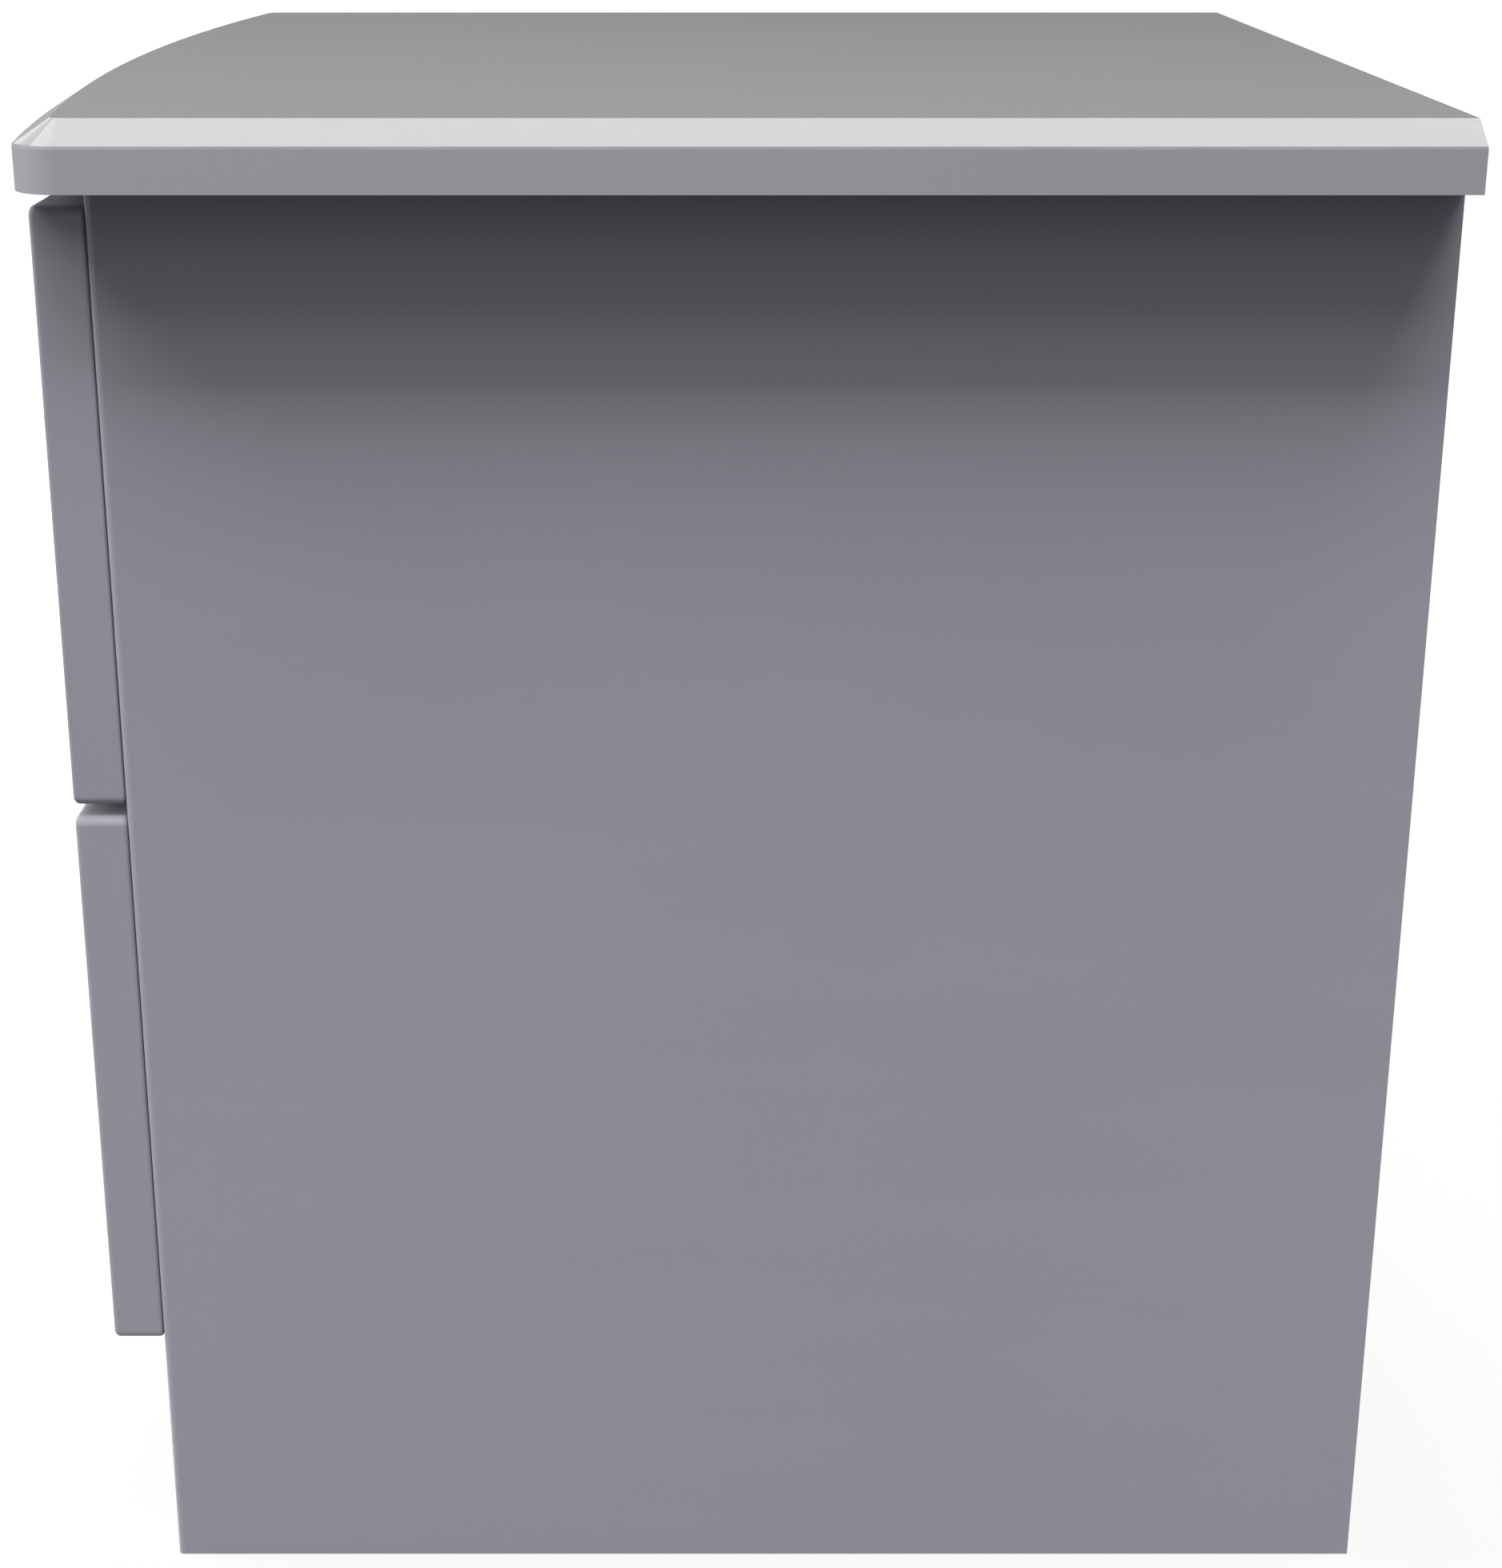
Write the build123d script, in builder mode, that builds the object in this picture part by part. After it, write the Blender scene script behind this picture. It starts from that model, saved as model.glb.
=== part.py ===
"""Bedside cabinet with two drawers, a bow-fronted bevelled top and roller runners.

Sizes are in millimetres. X runs to the right, Y to the back and Z up. The origin is on the floor in the
middle of the overall box, so the handles stand as far in front of it as the back edges stand behind.
"""

import os

from build123d import *

# Carcass
HEIGHT = 505.0
CARCASS_WIDTH = 400.0
CARCASS_DEPTH = 415.2
BOARD_THICKNESS = 16.0
EDGING_THICKNESS = 2.0
EDGING_ROUNDING = 1.4
PLINTH_HEIGHT = 86.8
PLINTH_SETBACK = 20.0
RAIL_DEPTH = 80.0
BACK_THICKNESS = 3.0
BACK_RECESS = 0.6
BACK_REBATE = 8.0

# Top
TOP_THICKNESS = 21.0
TOP_SIDE_OVERHANG = 20.0
TOP_CORNER_OVERHANG = 16.4
BOW_RISE = 16.0
TOP_CORNER_RADIUS = 15.0
BEVEL_RUN = 11.5
BEVEL_DROP = 7.3
BEVEL_ARRIS = 1.2

# Drawer fronts
FRONT_THICKNESS = 17.0
FRONT_STANDOFF = 0.4
FRONT_SIDE_INSET = 1.0
FRONT_GAP = 4.0
FRONT_TOP_GAP = 6.3
FRONT_CORNER_RADIUS = 3.0
FRONT_EDGE_RADIUS = 2.0
FRONT_BACK_RADIUS = 1.5

# Drawer boxes
BOX_BOARD = 12.0
BOX_FLOOR_CLEARANCE = 6.0
BOX_HEAD_CLEARANCE = 16.0
BOTTOM_THICKNESS = 3.0
GROOVE_LIFT = 8.0
GROOVE_DEPTH = 5.0
GROOVE_END_GAP = 0.5
BOX_EDGE_RADIUS = 1.2

# Roller runners, measured across the slot between a drawer and the carcass side
RUNNER_SPACE = 12.5
RUNNER_STEEL = 1.2
RUNNER_LENGTH = 350.0
RUNNER_SETBACK = 3.0
CHANNEL_SETBACK = 2.0
CHANNEL_GAP = 1.8
ROOF_CLEARANCE = 2.0
RAIL_GAP = 0.8
RAIL_TIP = 2.0
FOOT_LIFT = 1.0
DRAWER_TRAVEL = 265.0
STOP_CLEARANCE = 0.5
STOP_DROP = 3.0
ROLLER_DIAMETER = 16.0
ROLLER_PLAY = 0.2
ROLLER_CHAMFER = 0.6
ROLLER_END_INSET = 10.0
FRONT_ROLLER_INSET = 12.0
BORE_CLEARANCE = 0.06
RIVET_DIAMETER = 5.0
RIVET_COLLAR = 0.8
RIVET_COLLAR_DIAMETER = 8.0
RIVET_HEAD = 0.8
RIVET_HEAD_DIAMETER = 9.0

# Bow handles
HANDLE_PROJECTION = 25.0
HANDLE_SPACING = 128.0
HANDLE_FOOT_LENGTH = 22.0
HANDLE_WIDTH = 13.0
HANDLE_BAR = 5.0
HANDLE_TOE = 3.0
HANDLE_OUTER_ROUNDING = 2.2
HANDLE_INNER_ROUNDING = 1.2
HANDLE_THREAD_DEPTH = 5.0

# Fasteners
FIT = 0.06
DOWEL_DIAMETER = 8.0
BOX_DOWEL_DIAMETER = 6.0
DOWEL_BITE = 20.0
DOWEL_END_GAP = 0.5
SIDE_COVER = 5.0
BOX_SIDE_COVER = 4.0
CAM_DIAMETER = 15.0
CAM_INSET = 24.0
CAM_COVER = 3.5
CAM_SLOT_LENGTH = 9.0
CAM_SLOT = 1.4
CAM_SLOT_DEPTH = 2.0
CAM_BOLT_THREAD = 5.0
CAM_BOLT_SHANK = 6.0
CAM_BOLT_NECK = 4.0
CAM_BOLT_HEAD = 7.0
CAM_BOLT_HEAD_LENGTH = 4.0
WOOD_SCREW_DIAMETER = 4.0
WOOD_SCREW_HEAD = 8.0
WOOD_SCREW_HEAD_HEIGHT = 2.0
SCREW_TIP_DIAMETER = 1.0
SCREW_TIP_LENGTH = 3.5
HEAD_RIM = 1.0
HEAD_CROWN_DIAMETER = 4.4
TOP_SCREW_COVER = 8.0
FRONT_SCREW_COVER = 5.0
RUNNER_SCREW_DIAMETER = 3.5
RUNNER_SCREW_HEAD = 8.0
RUNNER_SCREW_HEAD_HEIGHT = 1.0
RUNNER_SCREW_HEAD_GAP = 0.4
RUNNER_SCREW_BITE = 12.0
RUNNER_SCREW_INSET = 5.0
HANDLE_SCREW_DIAMETER = 4.0
HANDLE_SCREW_HEAD = 8.0
HANDLE_SCREW_HEAD_HEIGHT = 2.4
PIN_DIAMETER = 1.4
PIN_HEAD = 3.2
PIN_HEAD_HEIGHT = 0.5
PIN_LENGTH = 14.0
PIN_SIDE_COUNT = 5
PIN_END_COUNT = 3

# Places of the fasteners, each from the end or edge of the board that it joins
BASE_DOWEL_INSET = 36.0
BASE_CAM_INSET = 84.0
RAIL_DOWEL_INSET = 24.0
RAIL_CAM_INSET = 56.0
PLINTH_DOWEL_INSET = 24.0
TOP_SCREW_INSET = 60.0
BOX_DOWEL_INSET = 30.0
FRONT_SCREW_SIDE_INSET = 50.0
FRONT_SCREW_EDGE_INSET = 34.0
CHANNEL_SCREW_INSET = 70.0
FOOT_SCREW_INSET = 45.0

# Sizes worked out from those above
INNER_WIDTH = CARCASS_WIDTH - 2 * BOARD_THICKNESS
INNER_HALF = INNER_WIDTH / 2
TOP_WIDTH = CARCASS_WIDTH + 2 * TOP_SIDE_OVERHANG
OVERALL_DEPTH = CARCASS_DEPTH + FRONT_STANDOFF + FRONT_THICKNESS + HANDLE_PROJECTION
BACK_Y = OVERALL_DEPTH / 2
CARCASS_FRONT_Y = BACK_Y - CARCASS_DEPTH
BACK_PANEL_Y = BACK_Y - BACK_RECESS
BOARD_BACK_Y = BACK_PANEL_Y - BACK_THICKNESS
FRONT_BACK_Y = CARCASS_FRONT_Y - FRONT_STANDOFF
FRONT_FACE_Y = FRONT_BACK_Y - FRONT_THICKNESS
TOP_CORNER_Y = CARCASS_FRONT_Y - TOP_CORNER_OVERHANG
TOP_UNDERSIDE = HEIGHT - TOP_THICKNESS
RAIL_UNDERSIDE = TOP_UNDERSIDE - BOARD_THICKNESS
BASE_TOP = PLINTH_HEIGHT + BOARD_THICKNESS
PLINTH_FRONT_Y = CARCASS_FRONT_Y + PLINTH_SETBACK

FRONT_WIDTH = CARCASS_WIDTH - 2 * FRONT_SIDE_INSET
FRONT_HEIGHT = (TOP_UNDERSIDE - FRONT_TOP_GAP - PLINTH_HEIGHT - FRONT_GAP) / 2
BOX_RISE = BOARD_THICKNESS + BOX_FLOOR_CLEARANCE
BOX_HEIGHT = FRONT_HEIGHT - BOX_RISE - BOARD_THICKNESS - BOX_HEAD_CLEARANCE
BOX_LENGTH = RUNNER_SETBACK + RUNNER_LENGTH
BOX_HALF = INNER_HALF - RUNNER_SPACE
BOX_INNER_HALF = BOX_HALF - BOX_BOARD
BOX_BACK_Y = FRONT_BACK_Y + BOX_LENGTH
BOX_INNER_FRONT_Y = FRONT_BACK_Y + BOX_BOARD
BOX_INNER_BACK_Y = BOX_BACK_Y - BOX_BOARD

ROLLER_RADIUS = ROLLER_DIAMETER / 2
RIVET_RADIUS = RIVET_DIAMETER / 2
REAR_HEAD_GAP = RUNNER_STEEL + RUNNER_SCREW_HEAD_HEIGHT + RUNNER_SCREW_HEAD_GAP
REAR_ROLLER_NEAR = REAR_HEAD_GAP + RIVET_HEAD + ROLLER_PLAY
REAR_ROLLER_FAR = RUNNER_SPACE - RUNNER_STEEL - RIVET_COLLAR - ROLLER_PLAY
ROLLER_WIDTH = REAR_ROLLER_FAR - REAR_ROLLER_NEAR
FRONT_ROLLER_NEAR = RUNNER_STEEL + RIVET_COLLAR + ROLLER_PLAY
CHANNEL_WIDTH = RUNNER_SPACE - RUNNER_STEEL - CHANNEL_GAP
CHANNEL_FRONT_Y = CARCASS_FRONT_Y + CHANNEL_SETBACK
RUNNER_FRONT_Y = FRONT_BACK_Y + RUNNER_SETBACK
FRONT_ROLLER_Y = CHANNEL_FRONT_Y + FRONT_ROLLER_INSET
REAR_ROLLER_Y = RUNNER_FRONT_Y + RUNNER_LENGTH - ROLLER_END_INSET
END_STOP_Y = REAR_ROLLER_Y + ROLLER_RADIUS + STOP_CLEARANCE
CHANNEL_BACK_Y = END_STOP_Y + RUNNER_STEEL
TRAVEL_STOP_Y = REAR_ROLLER_Y - DRAWER_TRAVEL - ROLLER_RADIUS - STOP_CLEARANCE

SIDES = {"left": -1, "right": 1}
DRAWERS = {"lower": PLINTH_HEIGHT, "upper": PLINTH_HEIGHT + FRONT_HEIGHT + FRONT_GAP}


def box_floor(front_bottom):
    """Height of a drawer box's lower edge, from the height of its front's lower edge."""
    return front_bottom + BOX_RISE


def channel_floor(front_bottom):
    """Height of the underside of the runner channel that carries a drawer."""
    return box_floor(front_bottom) - RUNNER_STEEL - FOOT_LIFT


def channel_roof(front_bottom):
    """Height of the underside of the channel's roof, just above the rear roller."""
    return channel_floor(front_bottom) + RUNNER_STEEL + ROLLER_DIAMETER + 2 * ROLLER_PLAY


def rail_underside(front_bottom):
    """Height of the rolling face of the drawer's own runner."""
    return channel_roof(front_bottom) + RUNNER_STEEL + RAIL_GAP


def rear_roller_z(front_bottom):
    """Height of the axis of the rollers at the back of a drawer."""
    return channel_floor(front_bottom) + RUNNER_STEEL + ROLLER_PLAY + ROLLER_RADIUS


def front_roller_z(front_bottom):
    """Height of the axis of the rollers at the front of the carcass."""
    return rail_underside(front_bottom) - ROLLER_PLAY - ROLLER_RADIUS


def slot_x(side, across):
    """X of a place in the runner slot, by its distance from the carcass side towards the drawer."""
    return side * (INNER_HALF - across)


def evenly(first, last, count):
    """Evenly spaced values from first to last."""
    return [first + (last - first) * step / (count - 1) for step in range(count)]


# Shapes that repeat


def board(x, y, z):
    """A square-edged board that fills a span on each axis."""
    with BuildPart() as piece:
        with BuildSketch(Plane.XY.offset(z[0])):
            with Locations(((x[0] + x[1]) / 2, (y[0] + y[1]) / 2)):
                Rectangle(x[1] - x[0], y[1] - y[0])
        extrude(amount=z[1] - z[0])
    return piece.part


def turned(outline):
    """A piece turned about Z, from the (radius, height) points of its outline, lowest first."""
    with BuildPart() as piece:
        with BuildSketch(Plane.XZ):
            with BuildLine():
                Polyline((0, outline[0][1]), *outline, (0, outline[-1][1]), close=True)
            make_face()
        revolve(axis=Axis.Z)
    return piece.part


def folded(side, points, y_front, y_back):
    """A folded steel strip along Y, from the corners of its section across and up the runner slot."""
    with BuildPart() as piece:
        with BuildSketch(Plane.XZ.offset(-y_front)):
            with BuildLine():
                Polyline(*[(slot_x(side, across), z) for across, z in points], close=True)
            make_face()
        extrude(amount=y_front - y_back)
    return piece.part


def drill(points, outward, radius, depth):
    """Blind round holes in the part being built, from faces that look outward."""
    with Locations(*[Plane(point, z_dir=outward) for point in points]):
        Hole(radius, depth)


def cluster(piece, planes):
    """One group of copies of a piece, each standing on one of the planes."""
    with BuildPart() as group:
        with Locations(*planes):
            add(piece)
    return group.part


def write(piece, label):
    """Labels a finished piece and writes it to its own file."""
    piece.label = label
    export_step(piece, f"parts/{label}.step")


# Places of the carcass joints, as (y, z) where a board's end meets a side panel

BASE_MID_Z = PLINTH_HEIGHT + BOARD_THICKNESS / 2
RAIL_MID_Z = RAIL_UNDERSIDE + BOARD_THICKNESS / 2
PLINTH_MID_Y = PLINTH_FRONT_Y + BOARD_THICKNESS / 2
REAR_RAIL_FRONT_Y = BOARD_BACK_Y - RAIL_DEPTH
DOWELS_AT = {
    "base_panel": [
        (CARCASS_FRONT_Y + BASE_DOWEL_INSET, BASE_MID_Z),
        (BOARD_BACK_Y - BASE_DOWEL_INSET, BASE_MID_Z),
    ],
    "plinth_board": [
        (PLINTH_MID_Y, PLINTH_DOWEL_INSET),
        (PLINTH_MID_Y, PLINTH_HEIGHT - PLINTH_DOWEL_INSET),
    ],
    "front_top_rail": [(CARCASS_FRONT_Y + RAIL_DOWEL_INSET, RAIL_MID_Z)],
    "rear_top_rail": [(REAR_RAIL_FRONT_Y + RAIL_DOWEL_INSET, RAIL_MID_Z)],
}
CAMS_AT = {
    "base_panel": [
        (CARCASS_FRONT_Y + BASE_CAM_INSET, BASE_MID_Z),
        (BOARD_BACK_Y - BASE_CAM_INSET, BASE_MID_Z),
    ],
    "plinth_board": [],
    "front_top_rail": [(CARCASS_FRONT_Y + RAIL_CAM_INSET, RAIL_MID_Z)],
    "rear_top_rail": [(REAR_RAIL_FRONT_Y + RAIL_CAM_INSET, RAIL_MID_Z)],
}
TOP_SCREWS_AT = [
    (side * (INNER_HALF - TOP_SCREW_INSET), y)
    for side in SIDES.values()
    for y in (CARCASS_FRONT_Y + RAIL_DEPTH / 2, BOARD_BACK_Y - RAIL_DEPTH / 2)
]
BACK_HALF = INNER_HALF + BACK_REBATE - FIT
PIN_X = INNER_HALF + BACK_REBATE / 2
PIN_LOW_Z = PLINTH_HEIGHT + BOARD_THICKNESS / 2
PIN_HIGH_Z = RAIL_MID_Z
PINS_AT = [
    (side * PIN_X, z) for side in SIDES.values() for z in evenly(PIN_LOW_Z, PIN_HIGH_Z, PIN_SIDE_COUNT)
] + [
    (x, z)
    for x in evenly(-PIN_X, PIN_X, PIN_END_COUNT + 2)[1:-1]
    for z in (PIN_LOW_Z, PIN_HIGH_Z)
]
DOWEL_IN_SIDE = BOARD_THICKNESS - SIDE_COVER
CAM_DEPTH = BOARD_THICKNESS - CAM_COVER
CHANNEL_SCREWS_Y = (CHANNEL_FRONT_Y + CHANNEL_SCREW_INSET, CHANNEL_BACK_Y - CHANNEL_SCREW_INSET)
PIN_BITE = PIN_LENGTH - BACK_THICKNESS


# Carcass


def make_top_panel():
    """Top board: square back edge, bowed front, rounded front corners and a bevel on three edges."""
    half = TOP_WIDTH / 2
    with BuildPart() as top_panel:
        with BuildSketch(Plane.XY.offset(TOP_UNDERSIDE)) as outline:
            with BuildLine():
                Polyline((-half, TOP_CORNER_Y), (-half, BACK_Y), (half, BACK_Y), (half, TOP_CORNER_Y))
                ThreePointArc((half, TOP_CORNER_Y), (0, TOP_CORNER_Y - BOW_RISE), (-half, TOP_CORNER_Y))
            make_face()
            fillet(outline.vertices().group_by(Axis.Y)[0], TOP_CORNER_RADIUS)
        extrude(amount=TOP_THICKNESS)
        upper_face = top_panel.faces().sort_by(Axis.Z)[-1]
        shown_edges = upper_face.edges().sort_by(Axis.Y)[:-1]
        chamfer(shown_edges, BEVEL_RUN, BEVEL_DROP, reference=upper_face)
        bevel_foot = top_panel.edges().filter_by_position(
            Axis.Z, HEIGHT - BEVEL_DROP, HEIGHT - BEVEL_DROP
        )
        fillet(bevel_foot, BEVEL_ARRIS)
        drill(
            [(x, y, TOP_UNDERSIDE) for x, y in TOP_SCREWS_AT],
            (0, 0, -1),
            WOOD_SCREW_DIAMETER / 2 + FIT,
            TOP_THICKNESS - TOP_SCREW_COVER + DOWEL_END_GAP,
        )
    write(top_panel.part, "top_panel")


def make_side_panel(hand, side):
    """Side panel with its rear rebate and the blind holes for dowels, cam bolts and runner screws."""
    x_inner = side * INNER_HALF
    x_span = sorted((x_inner, x_inner + side * BOARD_THICKNESS))
    blank = board(x_span, (CARCASS_FRONT_Y + EDGING_THICKNESS, BACK_Y), (0, TOP_UNDERSIDE))
    rebate_span = sorted((x_inner, x_inner + side * BACK_REBATE))
    rebate = board(rebate_span, (BOARD_BACK_Y, BACK_Y), (0, TOP_UNDERSIDE))
    inward = (-side, 0, 0)
    dowels = [(x_inner, y, z) for spots in DOWELS_AT.values() for y, z in spots]
    bolts = [(x_inner, y, z) for spots in CAMS_AT.values() for y, z in spots]
    runner_screws = [
        (x_inner, y, rear_roller_z(front_bottom))
        for front_bottom in DRAWERS.values()
        for y in CHANNEL_SCREWS_Y
    ]
    pins = [(x, BOARD_BACK_Y, z) for x, z in PINS_AT if abs(x) > INNER_HALF and x * side > 0]
    with BuildPart() as side_panel:
        add(blank)
        add(rebate, mode=Mode.SUBTRACT)
        drill(dowels, inward, DOWEL_DIAMETER / 2 + FIT, DOWEL_IN_SIDE + DOWEL_END_GAP)
        drill(bolts, inward, CAM_BOLT_THREAD / 2 + FIT, DOWEL_IN_SIDE + DOWEL_END_GAP)
        drill(runner_screws, inward, RUNNER_SCREW_DIAMETER / 2 + FIT, RUNNER_SCREW_BITE + DOWEL_END_GAP)
        drill(pins, (0, 1, 0), PIN_DIAMETER / 2 + FIT, PIN_BITE + DOWEL_END_GAP)
    write(side_panel.part, f"{hand}_side_panel")


def make_edging(hand, side):
    """Glued plastic edging on the front edge of a side panel, rounded on its two front corners."""
    x_span = sorted((side * INNER_HALF, side * CARCASS_WIDTH / 2))
    blank = board(x_span, (CARCASS_FRONT_Y, CARCASS_FRONT_Y + EDGING_THICKNESS), (0, TOP_UNDERSIDE))
    with BuildPart() as edging:
        add(blank)
        front_corners = edging.edges().filter_by(Axis.Z).group_by(Axis.Y)[0]
        fillet(front_corners, EDGING_ROUNDING)
    write(edging.part, f"{hand}_front_edging")


def drill_board_ends(name):
    """Dowel and cam holes in a cross board, inside that board's own part block."""
    for side in SIDES.values():
        outward = (side, 0, 0)
        dowels = [(side * INNER_HALF, y, z) for y, z in DOWELS_AT[name]]
        drill(dowels, outward, DOWEL_DIAMETER / 2 + FIT, DOWEL_BITE + DOWEL_END_GAP)
        for y, z in CAMS_AT[name]:
            drill([(side * INNER_HALF, y, z)], outward, CAM_BOLT_HEAD / 2 + FIT, CAM_INSET)
            cam_centre = (side * (INNER_HALF - CAM_INSET), y, z - BOARD_THICKNESS / 2)
            drill([cam_centre], (0, 0, -1), CAM_DIAMETER / 2 + FIT, CAM_DEPTH + FIT)


def drill_rear_pins(z_level):
    """Pin holes along the rear edge of a cross board, inside that board's own part block."""
    pins = [(x, BOARD_BACK_Y, z) for x, z in PINS_AT if z == z_level and abs(x) < INNER_HALF]
    drill(pins, (0, 1, 0), PIN_DIAMETER / 2 + FIT, PIN_BITE + DOWEL_END_GAP)


def make_base_panel():
    """Floor board of the carcass, between the side panels."""
    blank = board((-INNER_HALF, INNER_HALF), (CARCASS_FRONT_Y, BOARD_BACK_Y), (PLINTH_HEIGHT, BASE_TOP))
    with BuildPart() as base_panel:
        add(blank)
        drill_board_ends("base_panel")
        drill_rear_pins(PIN_LOW_Z)
    write(base_panel.part, "base_panel")


def make_plinth_board():
    """Kick board under the front of the base, set back from the drawer fronts."""
    blank = board(
        (-INNER_HALF, INNER_HALF),
        (PLINTH_FRONT_Y, PLINTH_FRONT_Y + BOARD_THICKNESS),
        (0, PLINTH_HEIGHT),
    )
    with BuildPart() as plinth_board:
        add(blank)
        drill_board_ends("plinth_board")
    write(plinth_board.part, "plinth_board")


def make_top_rail(name, y_front):
    """Flat rail under the top that ties the sides together and holds the top's screws."""
    y_back = y_front + RAIL_DEPTH
    blank = board((-INNER_HALF, INNER_HALF), (y_front, y_back), (RAIL_UNDERSIDE, TOP_UNDERSIDE))
    screws = [(x, y, RAIL_UNDERSIDE) for x, y in TOP_SCREWS_AT if y_front < y < y_back]
    with BuildPart() as rail:
        add(blank)
        drill_board_ends(name)
        with Locations(*[Plane(point, z_dir=(0, 0, -1)) for point in screws]):
            CounterSinkHole(WOOD_SCREW_DIAMETER / 2 + FIT, WOOD_SCREW_HEAD / 2 + FIT, counter_sink_angle=90)
        if name == "rear_top_rail":
            drill_rear_pins(PIN_HIGH_Z)
    write(rail.part, name)


def make_back_panel():
    """Thin back board, let into the rebates of the sides and pinned."""
    blank = board((-BACK_HALF, BACK_HALF), (BOARD_BACK_Y, BACK_PANEL_Y), (PLINTH_HEIGHT, TOP_UNDERSIDE - FIT))
    with BuildPart() as back_panel:
        add(blank)
        drill([(x, BACK_PANEL_Y, z) for x, z in PINS_AT], (0, 1, 0), PIN_DIAMETER / 2 + FIT, BACK_THICKNESS)
    write(back_panel.part, "back_panel")


def make_carcass_dowels():
    """Beech dowels between the cross boards and the side panels."""
    radius = DOWEL_DIAMETER / 2
    dowel = turned([(radius, -DOWEL_IN_SIDE), (radius, DOWEL_BITE)])
    spots = [spot for places in DOWELS_AT.values() for spot in places]
    planes = [
        Plane((side * INNER_HALF, y, z), z_dir=(-side, 0, 0)) for side in SIDES.values() for y, z in spots
    ]
    write(cluster(dowel, planes), "carcass_dowels")


def make_cam_fittings():
    """Cam locks set in the undersides of the cross boards, and the bolts that they draw in."""
    neck_from = CAM_INSET - CAM_BOLT_HEAD_LENGTH * 2
    head_from = CAM_INSET - CAM_BOLT_HEAD_LENGTH
    bolt = turned([
        (CAM_BOLT_THREAD / 2, -DOWEL_IN_SIDE),
        (CAM_BOLT_THREAD / 2, 0),
        (CAM_BOLT_SHANK / 2, 0),
        (CAM_BOLT_SHANK / 2, neck_from),
        (CAM_BOLT_NECK / 2, neck_from),
        (CAM_BOLT_NECK / 2, head_from),
        (CAM_BOLT_HEAD / 2, head_from),
        (CAM_BOLT_HEAD / 2, CAM_INSET),
    ])
    with BuildPart() as lock:
        with BuildSketch():
            Circle(CAM_DIAMETER / 2)
        extrude(amount=CAM_DEPTH)
        with BuildSketch():
            Rectangle(CAM_SLOT_LENGTH, CAM_SLOT)
            Rectangle(CAM_SLOT, CAM_SLOT_LENGTH)
        extrude(amount=CAM_SLOT_DEPTH, mode=Mode.SUBTRACT)
        bolt_mouth = (CAM_DIAMETER, 0, BOARD_THICKNESS / 2)
        drill([bolt_mouth], (1, 0, 0), CAM_BOLT_HEAD / 2 + FIT, CAM_DIAMETER + FIT)
    bolt_planes = []
    lock_planes = []
    for places in CAMS_AT.values():
        for y, z in places:
            for side in SIDES.values():
                bolt_planes.append(Plane((side * INNER_HALF, y, z), z_dir=(-side, 0, 0)))
                foot = (side * (INNER_HALF - CAM_INSET), y, z - BOARD_THICKNESS / 2)
                lock_planes.append(Plane(foot, x_dir=(side, 0, 0), z_dir=(0, 0, 1)))
    write(cluster(bolt, bolt_planes), "cam_bolts")
    write(cluster(lock.part, lock_planes), "cam_locks")


def make_top_fixing_screws():
    """Countersunk screws through the rails into the top."""
    shank = WOOD_SCREW_DIAMETER / 2
    head = WOOD_SCREW_HEAD / 2
    length = BOARD_THICKNESS + TOP_THICKNESS - TOP_SCREW_COVER
    screw = turned([
        (head, 0),
        (shank, head - shank),
        (shank, length - SCREW_TIP_LENGTH),
        (SCREW_TIP_DIAMETER / 2, length),
    ])
    planes = [Plane((x, y, RAIL_UNDERSIDE), z_dir=(0, 0, 1)) for x, y in TOP_SCREWS_AT]
    write(cluster(screw, planes), "top_fixing_screws")


def make_back_panel_pins():
    """Flat-headed pins round the edge of the back panel."""
    shank = PIN_DIAMETER / 2
    head = PIN_HEAD / 2
    pin = turned([(shank, -PIN_LENGTH), (shank, 0), (head, 0), (head, PIN_HEAD_HEIGHT)])
    planes = [Plane((x, BACK_PANEL_Y, z), z_dir=(0, 1, 0)) for x, z in PINS_AT]
    write(cluster(pin, planes), "back_panel_pins")


# Runners fixed to the carcass


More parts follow.
